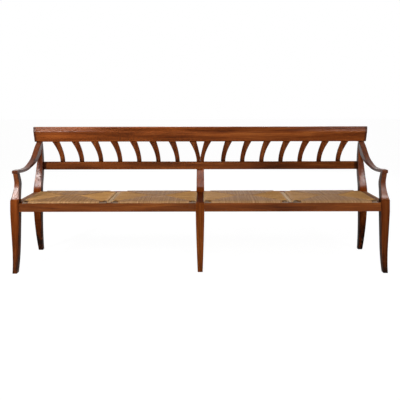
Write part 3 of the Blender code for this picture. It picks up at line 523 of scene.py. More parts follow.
# The grain runs along the first axis; each piece is cut from its own place in the board
def add_grain(mesh, along, tint, darkening_and_shade, gloss):
    others = [axis for axis in range(3) if axis != along]
    start = [draws.uniform(0.0, 40.0) for _ in range(3)]
    order = [along, *others]
    points = mesh.vertices
    write_attribute(mesh, "grain", [
        [point.co[axis] + start[row] for row, axis in enumerate(order)] for point in points])
    write_attribute(mesh, "tint", [(*tint(point.co), 1.0) for point in points])
    write_attribute(mesh, "darkening_and_shade", [[darkening_and_shade(point.co, point.normal)] for point in points])
    write_attribute(mesh, "gloss", [[gloss(point.co, point.normal)] for point in points])


# A darkening or a shine that is the same all over a piece
def even(value):
    return lambda place, normal: value


# Tint of a piece: a little lighter or darker by chance, and its own shade where it has one
def piece_tint(node):
    light = draws.uniform(0.93, 1.07)
    warm = draws.uniform(-0.03, 0.03)
    own = SHADES.get(node.rstrip("_12345678"), (1.0, 1.0, 1.0))
    shade = (own[0] * light * (1.0 + warm), own[1] * light, own[2] * light * (1.0 - warm))
    return lambda place: shade


# From 0 below the low end of a range to 1 above its high end, without a step
def fade(low, high, value):
    part = min(max((value - low) / (high - low), 0.0), 1.0)
    return part * part * (3 - 2 * part)


# A piece's own tint, turned towards another colour where near(place) is above 0
def shaded_tint(node, colour, near):
    shade = piece_tint(node)(None)

    def tint(place):
        return tuple(value * share(1.0, other, near(place)) for value, other in zip(shade, colour))
    return tint


# A wood piece: its mesh, grain and finish, in place of a CAD node of the same form
def wood_piece(node, builder, along, body="frame", material=walnut,
               tint=None, darkening_and_shade=even(0.0), gloss=even(1.0)):
    mesh = bpy.data.meshes.new(node + "_wood")
    bmesh.ops.recalc_face_normals(builder, faces=builder.faces)
    builder.to_mesh(mesh)
    builder.free()
    add_grain(mesh, along, tint or piece_tint(node), darkening_and_shade, gloss)
    mesh.materials.append(material)
    mesh.shade_smooth()
    item = add_item(node + "_wood", mesh)
    normals = item.modifiers.new("even_normals", "WEIGHTED_NORMAL")
    normals.weight = 80
    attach(item, body)
    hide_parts(node)


# Outline of a rectangle with rounded corners, as (u, v) pairs
def rounded_outline(half_u, half_v, radius):
    outline = []
    for turn, (sign_u, sign_v) in enumerate(((1, 1), (-1, 1), (-1, -1), (1, -1))):
        for step in range(ROUND_STEPS + 1):
            angle = math.radians(90 * (turn + step / ROUND_STEPS))
            outline.append((sign_u * (half_u - radius) + radius * math.cos(angle),
                            sign_v * (half_v - radius) + radius * math.sin(angle)))
    return outline


# A ring is an outline set in space: a centre, two axes, two half sizes and a rounding
def ring(centre, axis_u, axis_v, half_u, half_v, radius=EDGE_ROUND):
    return [centre + axis_u * u + axis_v * v for u, v in rounded_outline(half_u, half_v, radius)]


# A level ring, from the middle of its width and its front face
def level_ring(centre_x, front_y, z, width, depth, shrink=0.0):
    return ring(Vector((centre_x, front_y + depth / 2, z)), X_AXIS, Y_AXIS, width / 2 - shrink,
                depth / 2 - shrink)


# Faces between rows of corners that follow one another, with both ends closed
def row_faces(rows):
    faces = []
    for lower, upper in zip(rows, rows[1:]):
        for index in range(len(lower)):
            following = (index + 1) % len(lower)
            faces.append((lower[index], lower[following], upper[following], upper[index]))
    return faces + [tuple(reversed(rows[0])), tuple(rows[-1])]


def skin(rings):
    builder = bmesh.new()
    rows = [[builder.verts.new(point) for point in points] for points in rings]
    for face in row_faces(rows):
        builder.faces.new(face)
    return builder


# Steps round an edge up to the end of a piece, as (distance from the end, shrink) pairs
def round_steps(radius):
    angles = [math.radians(90 * step / ROUND_STEPS) for step in range(ROUND_STEPS + 1)]
    return [(radius * (1 - math.sin(angle)), radius * (1 - math.cos(angle))) for angle in angles]


# Level rings that round off a flat end at height z; direction is +1 at a top, -1 at a bottom
def rounded_end(level, z, direction):
    rings = [level(z - direction * back, shrink) for back, shrink in round_steps(FINE_ROUND)]
    return rings if direction > 0 else rings[::-1]


# Legs swell from the foot to full size at the underside of the rails
def leg_rest(z):
    return 1 - min(max(z, 0.0) / RAIL_BOTTOM, 1.0)


def leg_width(z):
    return share(LEG_WIDTH, FOOT_WIDTH, leg_rest(z)**LEG_TAPER_POWER)


def leg_depth(z):
    return share(LEG_DEPTH, FOOT_DEPTH, leg_rest(z)**LEG_TAPER_POWER)


def rear_offset(z):
    if z < RAIL_BOTTOM:
        return FOOT_SWEEP * leg_rest(z)**2
    return BACK_RAKE * smooth_value(STILE_SHAPE, stile_share(z))


def stile_share(z):
    return max(z - RAIL_TOP, 0) / (CREST_BOTTOM - RAIL_TOP)


def stile_width(z):
    if z < RAIL_TOP:
        return leg_width(z)
    return share(LEG_WIDTH, STILE_TOP_WIDTH, stile_share(z)**STILE_TAPER_POWER)


def stile_depth(z):
    if z < RAIL_TOP:
        return leg_depth(z)
    return share(LEG_DEPTH, STILE_TOP_DEPTH, stile_share(z))


def stile_front_y(z):
    swept = (LEG_DEPTH - leg_depth(z)) / 2 if z < RAIL_BOTTOM else 0.0
    return STILE_FRONT_Y + rear_offset(z) + swept


def stile_centre_y(z):
    return stile_front_y(z) + stile_depth(z) / 2


def stile_outer_x(z):
    return REAR_SPAN / 2 + STILE_SPLAY * smooth_value(STILE_EDGE, stile_share(z))


def stile_inner_x(z):
    return REAR_SPAN / 2 + STILE_SPLAY * stile_share(z) - stile_width(z)


def end_stile_width(z):
    if z < RAIL_TOP:
        return leg_width(z)
    return stile_outer_x(z) - stile_inner_x(z)


def stile_centre_x(side, z):
    if z < RAIL_TOP:
        return side * (REAR_LEG_X + FOOT_SPLAY * leg_rest(z)**2)
    return side * (stile_outer_x(z) + stile_inner_x(z)) / 2


# Legs are darker towards the floor, and carry painted shade on the sides that face inwards
def leg_darkening_and_shade(side, height, strength):
    def darkening_and_shade(place, normal):
        foot = strength * max(0.0, 1.0 - place.z / height)**1.3
        return max(foot, INNER_SIDE_PAINTED_SHADE * max(0.0, -side * normal.x)**2)
    return darkening_and_shade


# The polish is worn below the seat, and thinner on the sides than in front
def leg_gloss(place, normal):
    low, high = SUPPORT_SHINE
    above = fade(low, low + 0.015, place.z)
    front = share(SUPPORT_GLOSS[0] * above, SUPPORT_GLOSS[1], fade(high, high + 0.020, place.z))
    side = abs(normal.x)
    return share(LEG_GLOSS, front, 1 - side) + SIDE_GLOSS * above * side


def stile_gloss(place, normal):
    low, high = STILE_SHINE
    above = fade(low - 0.004, low, place.z)
    front = share(*STILE_GLOSS, fade(high, high + 0.060, place.z))
    return above * share(1.0, SIDE_GLOSS, abs(normal.x)) * front + LEG_GLOSS


def centre_gloss(place, normal):
    return CENTRE_GLOSS * stile_gloss(place, normal)


# Rails are dull on top, where the seats have rubbed them
def board_gloss(place, normal):
    return BOARD_GLOSS * (1 - max(0.0, normal.z))


# The crest shines on its top edge, and on its upper face towards the ends
def crest_gloss(place, normal):
    top = fade(CREST_HEIGHT - 0.008, CREST_HEIGHT - 0.002, place.z - CREST_BOTTOM)
    upper = fade(CREST_FACE_BREAK - 0.004, CREST_FACE_BREAK + 0.006, place.z - CREST_BOTTOM)
    ends = upper * fade(*CREST_SHINE_X, abs(place.x))
    return max(top, share(FLAT_GLOSS, CREST_END_GLOSS, ends))


def crest_half_length(z):
    return CREST_TOP_LENGTH / 2 - CREST_END_SLOPE * (CREST_BOTTOM + CREST_HEIGHT - z)


# 1 near the ends of a board that reaches half_length(z) to each side, and 0 between them
def near_end(width, half_length):
    return lambda place: fade(-width - END_BLEND, -width, abs(place.x) - half_length(place.z))


# Stations along a board, closer together where its ends are darker
def board_stations(half_length, shade_width):
    inner = 1 - (shade_width + END_BLEND) / half_length
    stations = [inner * (-1 + 2 * step / BOARD_STATIONS) for step in range(BOARD_STATIONS + 1)]
    edge = 1 - shade_width / half_length
    return [-1.0, -edge] + stations + [edge, 1.0]


def centre_leg_level(z, shrink):
    front_y = FRONT_Y + CENTRE_FOOT_SETBACK * leg_rest(z)**LEG_TAPER_POWER
    return level_ring(0.0, front_y, z, leg_width(z), leg_depth(z), shrink)


def corner_leg_level(side):
    def level(z, shrink):
        taper = leg_rest(z)**CORNER_TAPER_POWER
        width = share(LEG_WIDTH, CORNER_FOOT_WIDTH, taper)
        depth = share(LEG_DEPTH, CORNER_FOOT_DEPTH, taper)
        centre_x = FRONT_LEG_X - CORNER_BOW * smooth_value(CORNER_SHAPE, 1 - leg_rest(z))
        front_y = FRONT_Y - CORNER_KICK * leg_rest(z)**2
        return level_ring(side * centre_x, front_y, z, width, depth, shrink)
    return level


# Rings of a leg, from its rounded foot up to the underside of the rails
def leg_rings(level):
    heights = evenly(FINE_ROUND, RAIL_BOTTOM, CURVE_STATIONS)[1:]
    return rounded_end(level, 0.0, -1) + [level(z, 0.0) for z in heights]


def support_setback(part):
    return smooth_value([(0.0, SUPPORT_FOOT_SETBACK), (0.25, SUPPORT_NECK_SETBACK),
                         (0.60, SUPPORT_SETBACK), (1.0, SUPPORT_TOP_SETBACK)], part)


def support_width(part):
    neck = share(SUPPORT_BASE_WIDTH, SUPPORT_WIDTH, 0.8)
    return smooth_value([(0.0, SUPPORT_BASE_WIDTH), (0.3, neck), (0.6, SUPPORT_WIDTH),
                         (1.0, SUPPORT_WIDTH)], part)


def support_depth(part):
    return smooth_value([(0.0, SUPPORT_FOOT_DEPTH), (0.25, SUPPORT_DEPTH), (0.55, SUPPORT_DEPTH),
                         (1.0, SUPPORT_TOP_DEPTH)], part)


def support_centre_x(side):
    return side * (FRONT_LEG_X + (LEG_WIDTH - SUPPORT_BASE_WIDTH) / 4)


def support_rings(side):
    rings = []
    for part in evenly(0.0, 1.0, CURVE_STATIONS):
        z = share(BLOCK_TOP, ARM_UNDERSIDE - GAP, part)
        rings.append(level_ring(support_centre_x(side), FRONT_Y + support_setback(part), z,
                                support_width(part), support_depth(part)))
    return rings


def build_front_legs():
    for name, side in SIDES + (("centre", 0),):
        level = corner_leg_level(side) if side else centre_leg_level
        top = BLOCK_TOP if side else RAIL_TOP
        rings = leg_rings(level) + rounded_end(level, top, 1)
        if side:
            rings += support_rings(side)
        darkening_and_shade = leg_darkening_and_shade(side, *(CORNER_FOOT_DARKENING if side else CENTRE_FOOT_DARKENING))
        wood_piece("front_leg_" + name, skin(rings), 2, darkening_and_shade=darkening_and_shade, gloss=leg_gloss)


def build_stiles():
    for name, side in SIDES + (("centre", 0),):
        width = end_stile_width if side else stile_width

        def level(z, shrink):
            return level_ring(stile_centre_x(side, z), stile_front_y(z), z, width(z),
                              stile_depth(z), shrink)
        top = (CREST_BOTTOM if side else BACK_RAIL_BOTTOM) - GAP
        rings = leg_rings(level)
        rings += [level(z, 0.0) for z in evenly(RAIL_TOP, top, CURVE_STATIONS)]
        wood_piece("rear_stile_" + name, skin(rings), 2, darkening_and_shade=leg_darkening_and_shade(side, *REAR_FOOT_DARKENING_AND_SHADE),
                   gloss=stile_gloss if side else centre_gloss)


# Arms, swept along a line that runs half their front thickness below their top face, so
# that they thicken downwards as they rise
def arm_thickness(part):
    return ARM_FRONT_THICKNESS * smooth_value(ARM_SWELL, part)


def arm_width(part):
    return smooth_value([(0.0, ARM_FRONT_WIDTH), (0.14, ARM_FRONT_WIDTH), (0.5, ARM_WAIST_WIDTH),
                         (1.0, ARM_REAR_WIDTH)], part)


def arm_line(part):
    y = share(FRONT_Y + ARM_SETBACK, stile_front_y(ARM_REAR_HEIGHT), part)
    z = share(ARM_TOP - ARM_FRONT_THICKNESS / 2, ARM_REAR_HEIGHT, smooth_value(ARM_SHAPE, part))
    return Vector((0.0, y, z))


def arm_centre_x(side, part):
    front = abs(support_centre_x(side)) + SUPPORT_WIDTH / 2 + ARM_OVERHANG
    return side * (share(front, stile_outer_x(ARM_REAR_HEIGHT), part) - arm_width(part) / 2)


def arm_ring(side, part, push=0.0, trim=0.0):
    step = 0.01
    tangent = (arm_line(min(part + step, 1.0)) - arm_line(max(part - step, 0.0))).normalized()
    normal = X_AXIS.cross(tangent)
    drop = (arm_thickness(part) - ARM_FRONT_THICKNESS) / 2
    centre = arm_line(part) + X_AXIS * arm_centre_x(side, part) + tangent * push - normal * drop
    return ring(centre, X_AXIS, normal, arm_width(part) / 2 - trim,
                arm_thickness(part) / 2 - trim)


def build_arms():
    for name, side in SIDES:
        rings = [arm_ring(side, 0.0, push, trim) for push, trim in round_steps(FINE_ROUND * 2)]
        rings.reverse()
        rings += [arm_ring(side, part) for part in evenly(0.02, 1.0, CURVE_STATIONS + 10)]
        rings.append(arm_ring(side, 1.0, STILE_TOP_DEPTH / 2))
        wood_piece("arm_" + name, meet_stile(skin(rings)), 1, gloss=even(ARM_GLOSS))


# The arm's rear end is cut to lie against the front face of its stile
def meet_stile(builder):
    for vertex in builder.verts:
        face = stile_front_y(vertex.co.z) - GAP
        if vertex.co.y > face:
            vertex.co.y = face
    return builder


# Crest rail: one section drawn out along X, with ends that lean in towards the bottom
def crest_front(height):
    lower = min(height, CREST_FACE_BREAK)
    upper = max(height - CREST_FACE_BREAK, 0)
    return lower * CREST_LOWER_SLOPE + upper * CREST_UPPER_SLOPE


def crest_section():
    heights = evenly(0.0, CREST_FACE_BREAK - 0.008, 3) + evenly(
        CREST_FACE_BREAK - 0.005, CREST_FACE_BREAK + 0.005, 4) + evenly(
        CREST_FACE_BREAK + 0.008, CREST_HEIGHT, 3)

    reach = 0.006

    def soft_front(height):
        around = crest_front(height - reach) + crest_front(height + reach)
        return (around + 2 * crest_front(height)) / 4

    front = [(soft_front(h) if reach < h < CREST_HEIGHT - reach else crest_front(h), h)
             for h in heights]
    back = [(crest_front(h) + share(CREST_THICKNESS, CREST_TOP_THICKNESS, h / CREST_HEIGHT), h)
            for h in reversed(heights)]
    return front + back


def round_corners(section, corners, radius):
    rounded = []
    count = len(section)
    for index, (u, v) in enumerate(section):
        if index not in corners:
            rounded.append((u, v))
            continue
        here = Vector((u, v))
        before = Vector(section[index - 1]) - here
        after = Vector(section[(index + 1) % count]) - here
        start = here + before.normalized() * radius
        end = here + after.normalized() * radius
        for step in range(ROUND_STEPS + 1):
            part = step / ROUND_STEPS
            point = start * (1 - part)**2 + here * 2 * part * (1 - part) + end * part**2
            rounded.append((point.x, point.y))
    return rounded


def build_crest():
    section = crest_section()
    half_count = len(section) // 2
    corners = {0, half_count - 1, half_count, len(section) - 1}
    section = round_corners(section, corners, EDGE_ROUND)
    centre = Vector((sum(u for u, v in section), sum(v for u, v in section))) / len(section)

    def crest_ring(part, back=0.0, shrink=0.0):
        points = []
        for corner in section:
            toward = Vector(corner) - centre
            depth, height = centre + toward * (1 - shrink / max(toward.length, 0.004))
            half = crest_half_length(CREST_BOTTOM + height) - back
            points.append(Vector((part * half, CREST_FRONT_Y + depth, CREST_BOTTOM + height)))
        return points

    steps = round_steps(FINE_ROUND)
    rings = [crest_ring(-1, *step) for step in reversed(steps)]
    rings += [crest_ring(part)
              for part in board_stations(CREST_TOP_LENGTH / 2, END_SHADE_WIDTH)[1:-1]]
    rings += [crest_ring(1, *step) for step in steps]
    # Painted shade darkens the ends of the crest rail
    ends = near_end(END_SHADE_WIDTH, crest_half_length)
    wood_piece("crest_rail", skin(rings), 0,
               tint=shaded_tint("crest_rail", CREST_END_PAINTED_SHADE, ends), gloss=crest_gloss)


# Lower back rail, raked like the stiles and shouldered against them
def build_back_rail():
    def point_ring(part):
        points = []
        for v, w in rounded_outline(BACK_RAIL_THICKNESS / 2, BACK_RAIL_HEIGHT / 2, EDGE_ROUND):
            z = (BACK_RAIL_BOTTOM + BACK_RAIL_TOP) / 2 + w
            inner = stile_inner_x(z) - GAP
            points.append(Vector((part * inner, stile_centre_y(z) + v, z)))
        return points
    rings = [point_ring(part) for part in board_stations(REAR_INNER_X, RAIL_SHADE_WIDTH)]
    # Painted shadow of the stiles darkens the ends of the rail
    ends = near_end(RAIL_SHADE_WIDTH, stile_inner_x)
    wood_piece("lower_back_rail", skin(rings), 0,
               tint=shaded_tint("lower_back_rail", BACK_RAIL_END_PAINTED_SHADOW, ends), gloss=even(FLAT_GLOSS))


# Slats stand on the lower back rail and lean away from the middle as they rise
def slat_foot_width(number):
    return SLAT_PAIR_FOOT_WIDTH if number == 0 else SLAT_FOOT_WIDTH


def slat_foot_x(number):
    if number == 0:
        return (SLAT_PAIR_FOOT_WIDTH + GAP) / 2
    return SLAT_FIRST_GAP + (number - 1) * SLAT_PITCH


# Inner and outer edge of a slat; the inner edges of the middle pair part higher up
def slat_edges(number, part):
    lean = SLAT_LEAN + SLAT_LEAN_STEP * number + (SLAT_FOOT_WIDTH - slat_foot_width(number)) / 2
    centre = slat_foot_x(number) + lean * part**SLAT_LEAN_POWER
    half = share(slat_foot_width(number), SLAT_FOOT_WIDTH + SLAT_FLARE,
                 part**SLAT_FLARE_POWER) / 2
    if number == 0:
        parted = max(part - SLAT_PAIR_JOIN, 0) / (1 - SLAT_PAIR_JOIN)
        return GAP / 2 + SLAT_PAIR_OPENING * parted**SLAT_PAIR_POWER, centre + half
    return centre - half, centre + half


def slat_centre_y(part):
    crest_centre = CREST_FRONT_Y + CREST_THICKNESS / 2
    return share(stile_centre_y(BACK_RAIL_TOP), crest_centre, part)


def near_slat_foot(place):
    return 1 - fade(BACK_RAIL_TOP, BACK_RAIL_TOP + SLAT_SHADE_HEIGHT, place.z)


def build_slats():
    bottom = BACK_RAIL_TOP + GAP
    top = CREST_BOTTOM - GAP
    for name, side in SIDES:
        for number in range(SLATS_PER_SIDE):
            rings = []
            for part in evenly(0.0, 1.0, SLAT_STATIONS):
                inner, outer = slat_edges(number, part)
                centre = Vector((side * (inner + outer) / 2, slat_centre_y(part),
                                 share(bottom, top, part)))
                rings.append(ring(centre, X_AXIS, Y_AXIS, (outer - inner) / 2,
                                  SLAT_THICKNESS / 2, FINE_ROUND * 1.5))
            node = "slat_" + name + "_" + str(number + 1)
            # Painted shade darkens the feet of the slats, all but the middle pair
            tint = shaded_tint(node, SLAT_FOOT_PAINTED_SHADE, near_slat_foot) if number else None
            wood_piece(node, skin(rings), 2, tint=tint, gloss=even(FLAT_GLOSS))


# Pockets that the seats drop into, as (left, right) edges
def pocket_edges():
    lip = CROSS_RAIL_LIP / 2
    return [(-POCKET_END_X, -CROSS_RAIL_X - lip), (-CROSS_RAIL_X + lip, -POCKET_MIDDLE_X),
            (POCKET_MIDDLE_X, CROSS_RAIL_X - lip), (CROSS_RAIL_X + lip, POCKET_END_X)]


def add_box(builder, low, high):
    corners = [builder.verts.new((x, y, z))
               for z in (low[2], high[2]) for y in (low[1], high[1]) for x in (low[0], high[0])]
    sides = ((0, 2, 3, 1), (4, 5, 7, 6), (0, 1, 5, 4), (2, 6, 7, 3), (0, 4, 6, 2), (1, 3, 7, 5))
    for side in sides:
        builder.faces.new([corners[index] for index in side])


# A box with pockets cut out of it and its edges rounded
def pocketed_box(low, high, radius, pockets=()):
    def as_object(boxes):
        builder = bmesh.new()
        for near, far in boxes:
            add_box(builder, near, far)
        mesh = bpy.data.meshes.new("block")
        builder.to_mesh(mesh)
        builder.free()
        return add_item("block", mesh)

    item = as_object([(low, high)])
    tools = []
    if pockets:
        tools.append(as_object(pockets))
        step = item.modifiers.new("pockets", "BOOLEAN")
        step.operation = "DIFFERENCE"
        step.solver = "EXACT"
        step.object = tools[0]
    soft = item.modifiers.new("soft_edges", "BEVEL")
    soft.width = radius
    soft.segments = 3
    soft.limit_method = "ANGLE"
    depsgraph = bpy.context.evaluated_depsgraph_get()
    builder = bmesh.new()
    builder.from_mesh(item.evaluated_get(depsgraph).to_mesh())
    for used in [item, *tools]:
        bpy.data.objects.remove(used, do_unlink=True)
    return builder


def pocket_boxes(left, right):
    clear = RAIL_TOP + REBATE_DEPTH
    return [((low, POCKET_FRONT_Y, LEDGE_Z), (high, POCKET_REAR_Y, clear))
            for low, high in pocket_edges() if high > left and low < right]


# Top faces of a rail, made paler as a painted reflection of the white studio
def painted_reflection_top(place):
    return 1.0 if place.z > RAIL_TOP - FINE_ROUND / 2 else 0.0


def rail(node, low, high, along, tint=None):
    builder = pocketed_box(low, high, FINE_ROUND, pocket_boxes(low[0], high[0]))
    wood_piece(node, builder, along, tint=tint, gloss=board_gloss)


def build_rails():
    for name, side in SIDES:
        for place, y_edges, outer_x in (("front", FRONT_RAIL_Y, LEG_INNER_X),
                                        ("rear", REAR_RAIL_Y, REAR_INNER_X)):
            ends = sorted((side * (LEG_WIDTH / 2 + GAP), side * (outer_x - GAP)))
            rail(place + "_rail_" + name, (ends[0], y_edges[0], RAIL_BOTTOM),
                 (ends[1], y_edges[1], RAIL_TOP), 0)
        ends = sorted((side * SIDE_RAIL_X[0], side * SIDE_RAIL_X[1]))
        rail("side_rail_" + name, (ends[0], LEG_REAR_Y + GAP, RAIL_BOTTOM),
             (ends[1], STILE_FRONT_Y - GAP, RAIL_TOP), 1,
             shaded_tint("side_rail_" + name, SIDE_RAIL_TOP_PAINTED_REFLECTION, painted_reflection_top))
        half = CROSS_RAIL_LIP / 2 + RAIL_LEDGE
        rail("cross_rail_" + name, (side * CROSS_RAIL_X - half, FRONT_RAIL_Y[1] + GAP, RAIL_BOTTOM),
             (side * CROSS_RAIL_X + half, REAR_RAIL_Y[0] - GAP, RAIL_TOP), 1,
             shaded_tint("cross_rail_" + name, CROSS_RAIL_TOP_PAINTED_REFLECTION, painted_reflection_top))
    half = POCKET_MIDDLE_X + RAIL_LEDGE
    rail("cross_rail_centre", (-half, LEG_REAR_Y + GAP, RAIL_BOTTOM),
         (half, STILE_FRONT_Y - GAP, RAIL_TOP), 1)


# Seats: low and high are the near left and far right corners of the rush
def build_lists(seat, low, high):
    left, front = low[0] + RUSH_WRAP, low[1] + RUSH_WRAP
    right, rear = high[0] - RUSH_WRAP, high[1] - RUSH_WRAP
    inner_front = front + LIST_WIDTH + GAP
    inner_rear = rear - LIST_WIDTH - GAP
    places = {
        "front": ((left, front), (right, front + LIST_WIDTH), 0),
        "rear": ((left, rear - LIST_WIDTH), (right, rear), 0),
        "left": ((left, inner_front), (left + LIST_WIDTH, inner_rear), 1),
        "right": ((right - LIST_WIDTH, inner_front), (right, inner_rear), 1),
    }
    for name, (near, far, along) in places.items():
        builder = pocketed_box((*near, LIST_BOTTOM), (*far, LIST_TOP), FINE_ROUND * 1.2)
        wood_piece(seat + "_list_" + name, builder, along, seat, list_wood)


def finish_rush(mesh, strands, tones, tints):
    write_attribute(mesh, "strand", strands)
    write_attribute(mesh, "tone", tones)
    write_attribute(mesh, "tint", tints)
    mesh.materials.append(rush)


# Strand places along a list, from widths that vary a little and fill the length
def strand_places(length):
    count = round(length / STRAND_PITCH)
    widths = [draws.uniform(0.88, 1.12) for _ in range(count)]
    scale = length / sum(widths)
    places = []
    at = 0.0
    for width in widths:
        places.append((at + width * scale / 2, width * scale / STRAND_PITCH))
        at += width * scale
    return places


# One strand runs from the seam over the top, round the list and back underneath
def strand_path(top_at, reach, wobble):
    half_height = (RUSH_TOP - RUSH_BOTTOM) / 2
    middle = (RUSH_TOP + RUSH_BOTTOM) / 2
    roll = RUSH_ROLL - STRAND_HALF_HEIGHT
    rise = half_height - STRAND_HALF_HEIGHT

    def dive(inward):
        return SEAM_DIVE * max(0.0, 1.0 - (reach - inward) / SEAM_REACH)**2

    path = []
    for part in TOP_STATIONS:
        inward = share(reach, RUSH_ROLL, part)
        path.append((inward, top_at(inward) - STRAND_HALF_HEIGHT - dive(inward) + wobble(inward)))
    for degrees in range(90, -91, -18):
        angle = math.radians(degrees)
        inward = STRAND_HALF_HEIGHT + roll * (1 - math.cos(angle))
        height = middle + rise * math.sin(angle)
        if degrees > 0:
            height += (top_at(inward) - RUSH_TOP) * math.sin(angle)
        path.append((inward, height))
    below = RUSH_BOTTOM + STRAND_HALF_HEIGHT
    for part in UNDER_STATIONS:
        inward = share(RUSH_ROLL, reach, part)
        path.append((inward, below + dive(inward)))
    return path


def build_weave(seat, low, high):
    width = high[0] - low[0]
    depth = high[1] - low[1]
    half_depth = depth / 2

    def crown(x, y):
        u = min(max((x - low[0]) / width, 0.0), 1.0)
        v = min(max((y - low[1]) / depth, 0.0), 1.0)
        return RUSH_CROWN * 16 * u * (1 - u) * v * (1 - v)

    vertices, faces = [], []
    strand_data, tones, tints = [], [], []
    number = 0

    def lay(origin, inward_axis, across_axis, reach, size, shade):
        nonlocal number
        phase = draws.uniform(0.0, 6.28)
        sway = draws.uniform(0.1, 0.45) * 0.001
        tone = min(max(draws.gauss(0.5, 0.11), 0.0), 1.0)
        reach = reach + draws.uniform(-0.0016, 0.0016)

        def top_at(inward):
            place = origin + inward_axis * inward
            return RUSH_TOP + crown(place.x, place.y)

        def wobble(inward):
            return STRAND_WAVE * (math.sin(phase + inward * 55.0) - 1)

        path = strand_path(top_at, reach, wobble)
        half_width = STRAND_HALF_WIDTH * size
        first = len(vertices)
        along = draws.uniform(0.0, 5.0)
        for index, (inward, height) in enumerate(path):
            before = path[max(index - 1, 0)]
            after = path[min(index + 1, len(path) - 1)]
            tangent = inward_axis * (after[0] - before[0]) + Z_AXIS * (after[1] - before[1])
            normal = across_axis.cross(tangent).normalized()
            if index:
                along += math.hypot(inward - before[0], height - before[1])
            drift = sway * math.sin(phase * 2 + inward * 34.0)
            centre = origin + inward_axis * inward + across_axis * drift
            centre.z = height
            # Strands are made paler where they roll over the edge: a painted highlight
            rolled = 1 - fade(*ROLL_BLEND, inward)
            roll_highlight_tint = [value * share(1.0, roll, rolled) for value, roll in zip(shade, ROLL_PAINTED_HIGHLIGHT)]
            for side in range(STRAND_SIDES):
                angle = 2 * math.pi * side / STRAND_SIDES
                point = (centre + across_axis * (half_width * math.cos(angle))
                         + normal * (STRAND_HALF_HEIGHT * math.sin(angle)))
                vertices.append(point)
                strand_data.append((along, side / STRAND_SIDES, number))
                tones.append([tone])
                tints.append((*roll_highlight_tint, 1.0))
        faces.extend(row_faces([range(start, start + STRAND_SIDES)
                                for start in range(first, len(vertices), STRAND_SIDES)]))
        number += 1

    slip = NOTCH_DEPTH - NOTCH_LENGTH
    # Strands each way get their own shade, which differs as painted light
    for edge_y, inward in ((low[1], 1), (high[1], -1)):
        for place, size in strand_places(width - 2 * NOTCH_LENGTH):
            x = low[0] + NOTCH_LENGTH + place
            reach = min(x - low[0] + slip, high[0] - x + slip, half_depth)
            lay(Vector((x, edge_y, 0.0)), Y_AXIS * inward, X_AXIS * inward, reach, size,
                LONG_STRAND_COLOUR_AND_LIGHT)
    for edge_x, inward in ((low[0], 1), (high[0], -1)):
        for place, size in strand_places(depth - 2 * NOTCH_DEPTH):
            y = low[1] + NOTCH_DEPTH + place
            reach = min(y - low[1] - slip, high[1] - y - slip)
            lay(Vector((edge_x, y, 0.0)), X_AXIS * inward, Y_AXIS * -inward, reach, size,
                SIDE_STRAND_COLOUR_AND_LIGHT)

    mesh = bpy.data.meshes.new(seat + "_weave")
    mesh.from_pydata([tuple(point) for point in vertices], [], faces)
    finish_rush(mesh, strand_data, tones, tints)
    mesh.shade_smooth()
    item = add_item(seat + "_weave", mesh)
    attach(item, seat)
    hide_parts(seat + "_rush")


# Straw stuffed between the two layers, which closes the view between the strands
def build_stuffing(seat, low, high):
    inset = RUSH_WRAP + LIST_WIDTH
    builder = pocketed_box((low[0] + inset, low[1] + inset, RUSH_BOTTOM + STUFFING_INSET),
                           (high[0] - inset, high[1] - inset, RUSH_TOP - STUFFING_INSET),
                           STUFFING_ROUND)
    mesh = bpy.data.meshes.new(seat + "_stuffing")
    builder.to_mesh(mesh)
    count = len(mesh.vertices)
    # The straw's dark colour is partly painted shade from inside the seat
    finish_rush(mesh, [vertex.co for vertex in mesh.vertices], [[STUFFING_TONE]] * count,
                [(*STUFFING_COLOUR_AND_SHADE, 1.0)] * count)
    item = add_item(seat + "_stuffing", mesh)
    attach(item, seat)


def build_seats():
    for index, (left, right) in enumerate(pocket_edges()):
        seat = "seat_" + str(index + 1)
        low = (left + SEAT_SIDE_CLEARANCE, POCKET_FRONT_Y + SEAT_SIDE_CLEARANCE)
        high = (right - SEAT_SIDE_CLEARANCE, POCKET_REAR_Y - SEAT_SIDE_CLEARANCE)
        build_lists(seat, low, high)
        build_weave(seat, low, high)
        build_stuffing(seat, low, high)


build_front_legs()
build_stiles()
build_arms()
build_crest()
build_back_rail()
build_slats()
build_rails()
build_seats()


# One for what the camera sees directly, in a reflection or through something clear
def seen_rays(graph):
    path = graph.node("ShaderNodeLightPath")
    seen = graph.math("ADD", path.outputs["Is Camera Ray"], path.outputs["Is Transmission Ray"])
    return graph.math("ADD", seen, path.outputs["Is Glossy Ray"], clamp=True)


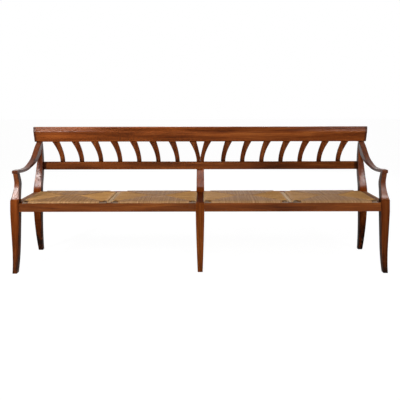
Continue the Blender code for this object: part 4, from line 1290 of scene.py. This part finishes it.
# Floor that looks white and still takes the bench's shadow
def build_floor():
    graph = Graph(bpy.data.materials.new("studio_floor"))
    seen = seen_rays(graph)
    grey = graph.levels(seen, 0.0, 1.0, FLOOR_BOUNCE, 1.0)
    diffuse = graph.node("ShaderNodeBsdfDiffuse", {"Color": grey})
    white = graph.node("ShaderNodeEmission", {"Color": (1.0, 1.0, 1.0, 1.0),
                                              "Strength": FLOOR_WHITE})
    mixed = graph.node("ShaderNodeMixShader", {"Fac": graph.math("MULTIPLY", seen, FLOOR_GLOW)})
    graph.set(mixed, 1, diffuse.outputs["BSDF"])
    graph.set(mixed, 2, white.outputs["Emission"])
    graph.set(graph.tree.nodes["Material Output"], "Surface", mixed.outputs["Shader"])
    mesh = bpy.data.meshes.new("floor")
    corners = ((-1, -1), (1, -1), (1, 1), (-1, 1))
    mesh.from_pydata([(FLOOR_REACH * x, FLOOR_REACH * y, 0.0) for x, y in corners], [],
                     [(0, 1, 2, 3)])
    mesh.materials.append(graph.owner)
    floor = add_item("floor", mesh)


# Studio: white where it is seen, and a soft light that is stronger in front of the bench
def build_world():
    world = bpy.data.worlds.new("studio")
    bpy.context.scene.world = world
    graph = Graph(world)
    way = graph.node("ShaderNodeSeparateXYZ", {
        "Vector": graph.node("ShaderNodeTexCoord").outputs["Generated"]})
    soft = graph.levels(way.outputs["Y"], -0.8, 0.2, FRONT_LIGHT, REAR_LIGHT)
    light = graph.node("ShaderNodeMix", {"Factor": seen_rays(graph), 2: soft, 3: 1.0},
                       data_type="FLOAT").outputs[0]
    background = graph.tree.nodes["Background"]
    background.inputs["Color"].default_value = (1.0, 1.0, 1.0, 1.0)
    graph.set(background, "Strength", light)


def add_lamp(name, place, target, size, power, spread):
    data = bpy.data.lights.new(name, "AREA")
    data.shape = "RECTANGLE"
    data.size, data.size_y = size
    data.energy = power
    data.spread = math.radians(spread)
    lamp = add_item(name, data)
    lamp.location = place
    lamp.rotation_euler = (Vector(target) - Vector(place)).to_track_quat("-Z", "Y").to_euler()


def build_camera():
    data = bpy.data.cameras.new("camera")
    data.sensor_width = 36.0
    data.lens = 36.0 * CAMERA_FOCAL_PIXELS / PICTURE_PIXELS
    data.shift_x = (PICTURE_PIXELS / 2 - CAMERA_COLUMN) / PICTURE_PIXELS
    data.shift_y = (CAMERA_ROW - PICTURE_PIXELS / 2) / PICTURE_PIXELS
    camera = add_item("camera", data)
    camera.location = (CAMERA_X, FRONT_Y - CAMERA_DISTANCE, CAMERA_HEIGHT)
    camera.rotation_euler = (math.radians(90.0), math.radians(CAMERA_ROLL), 0.0)
    bpy.context.scene.camera = camera


build_floor()
build_world()
for lamp in LAMPS:
    add_lamp(*lamp)
build_camera()
bpy.context.scene.view_settings.view_transform = "Standard"
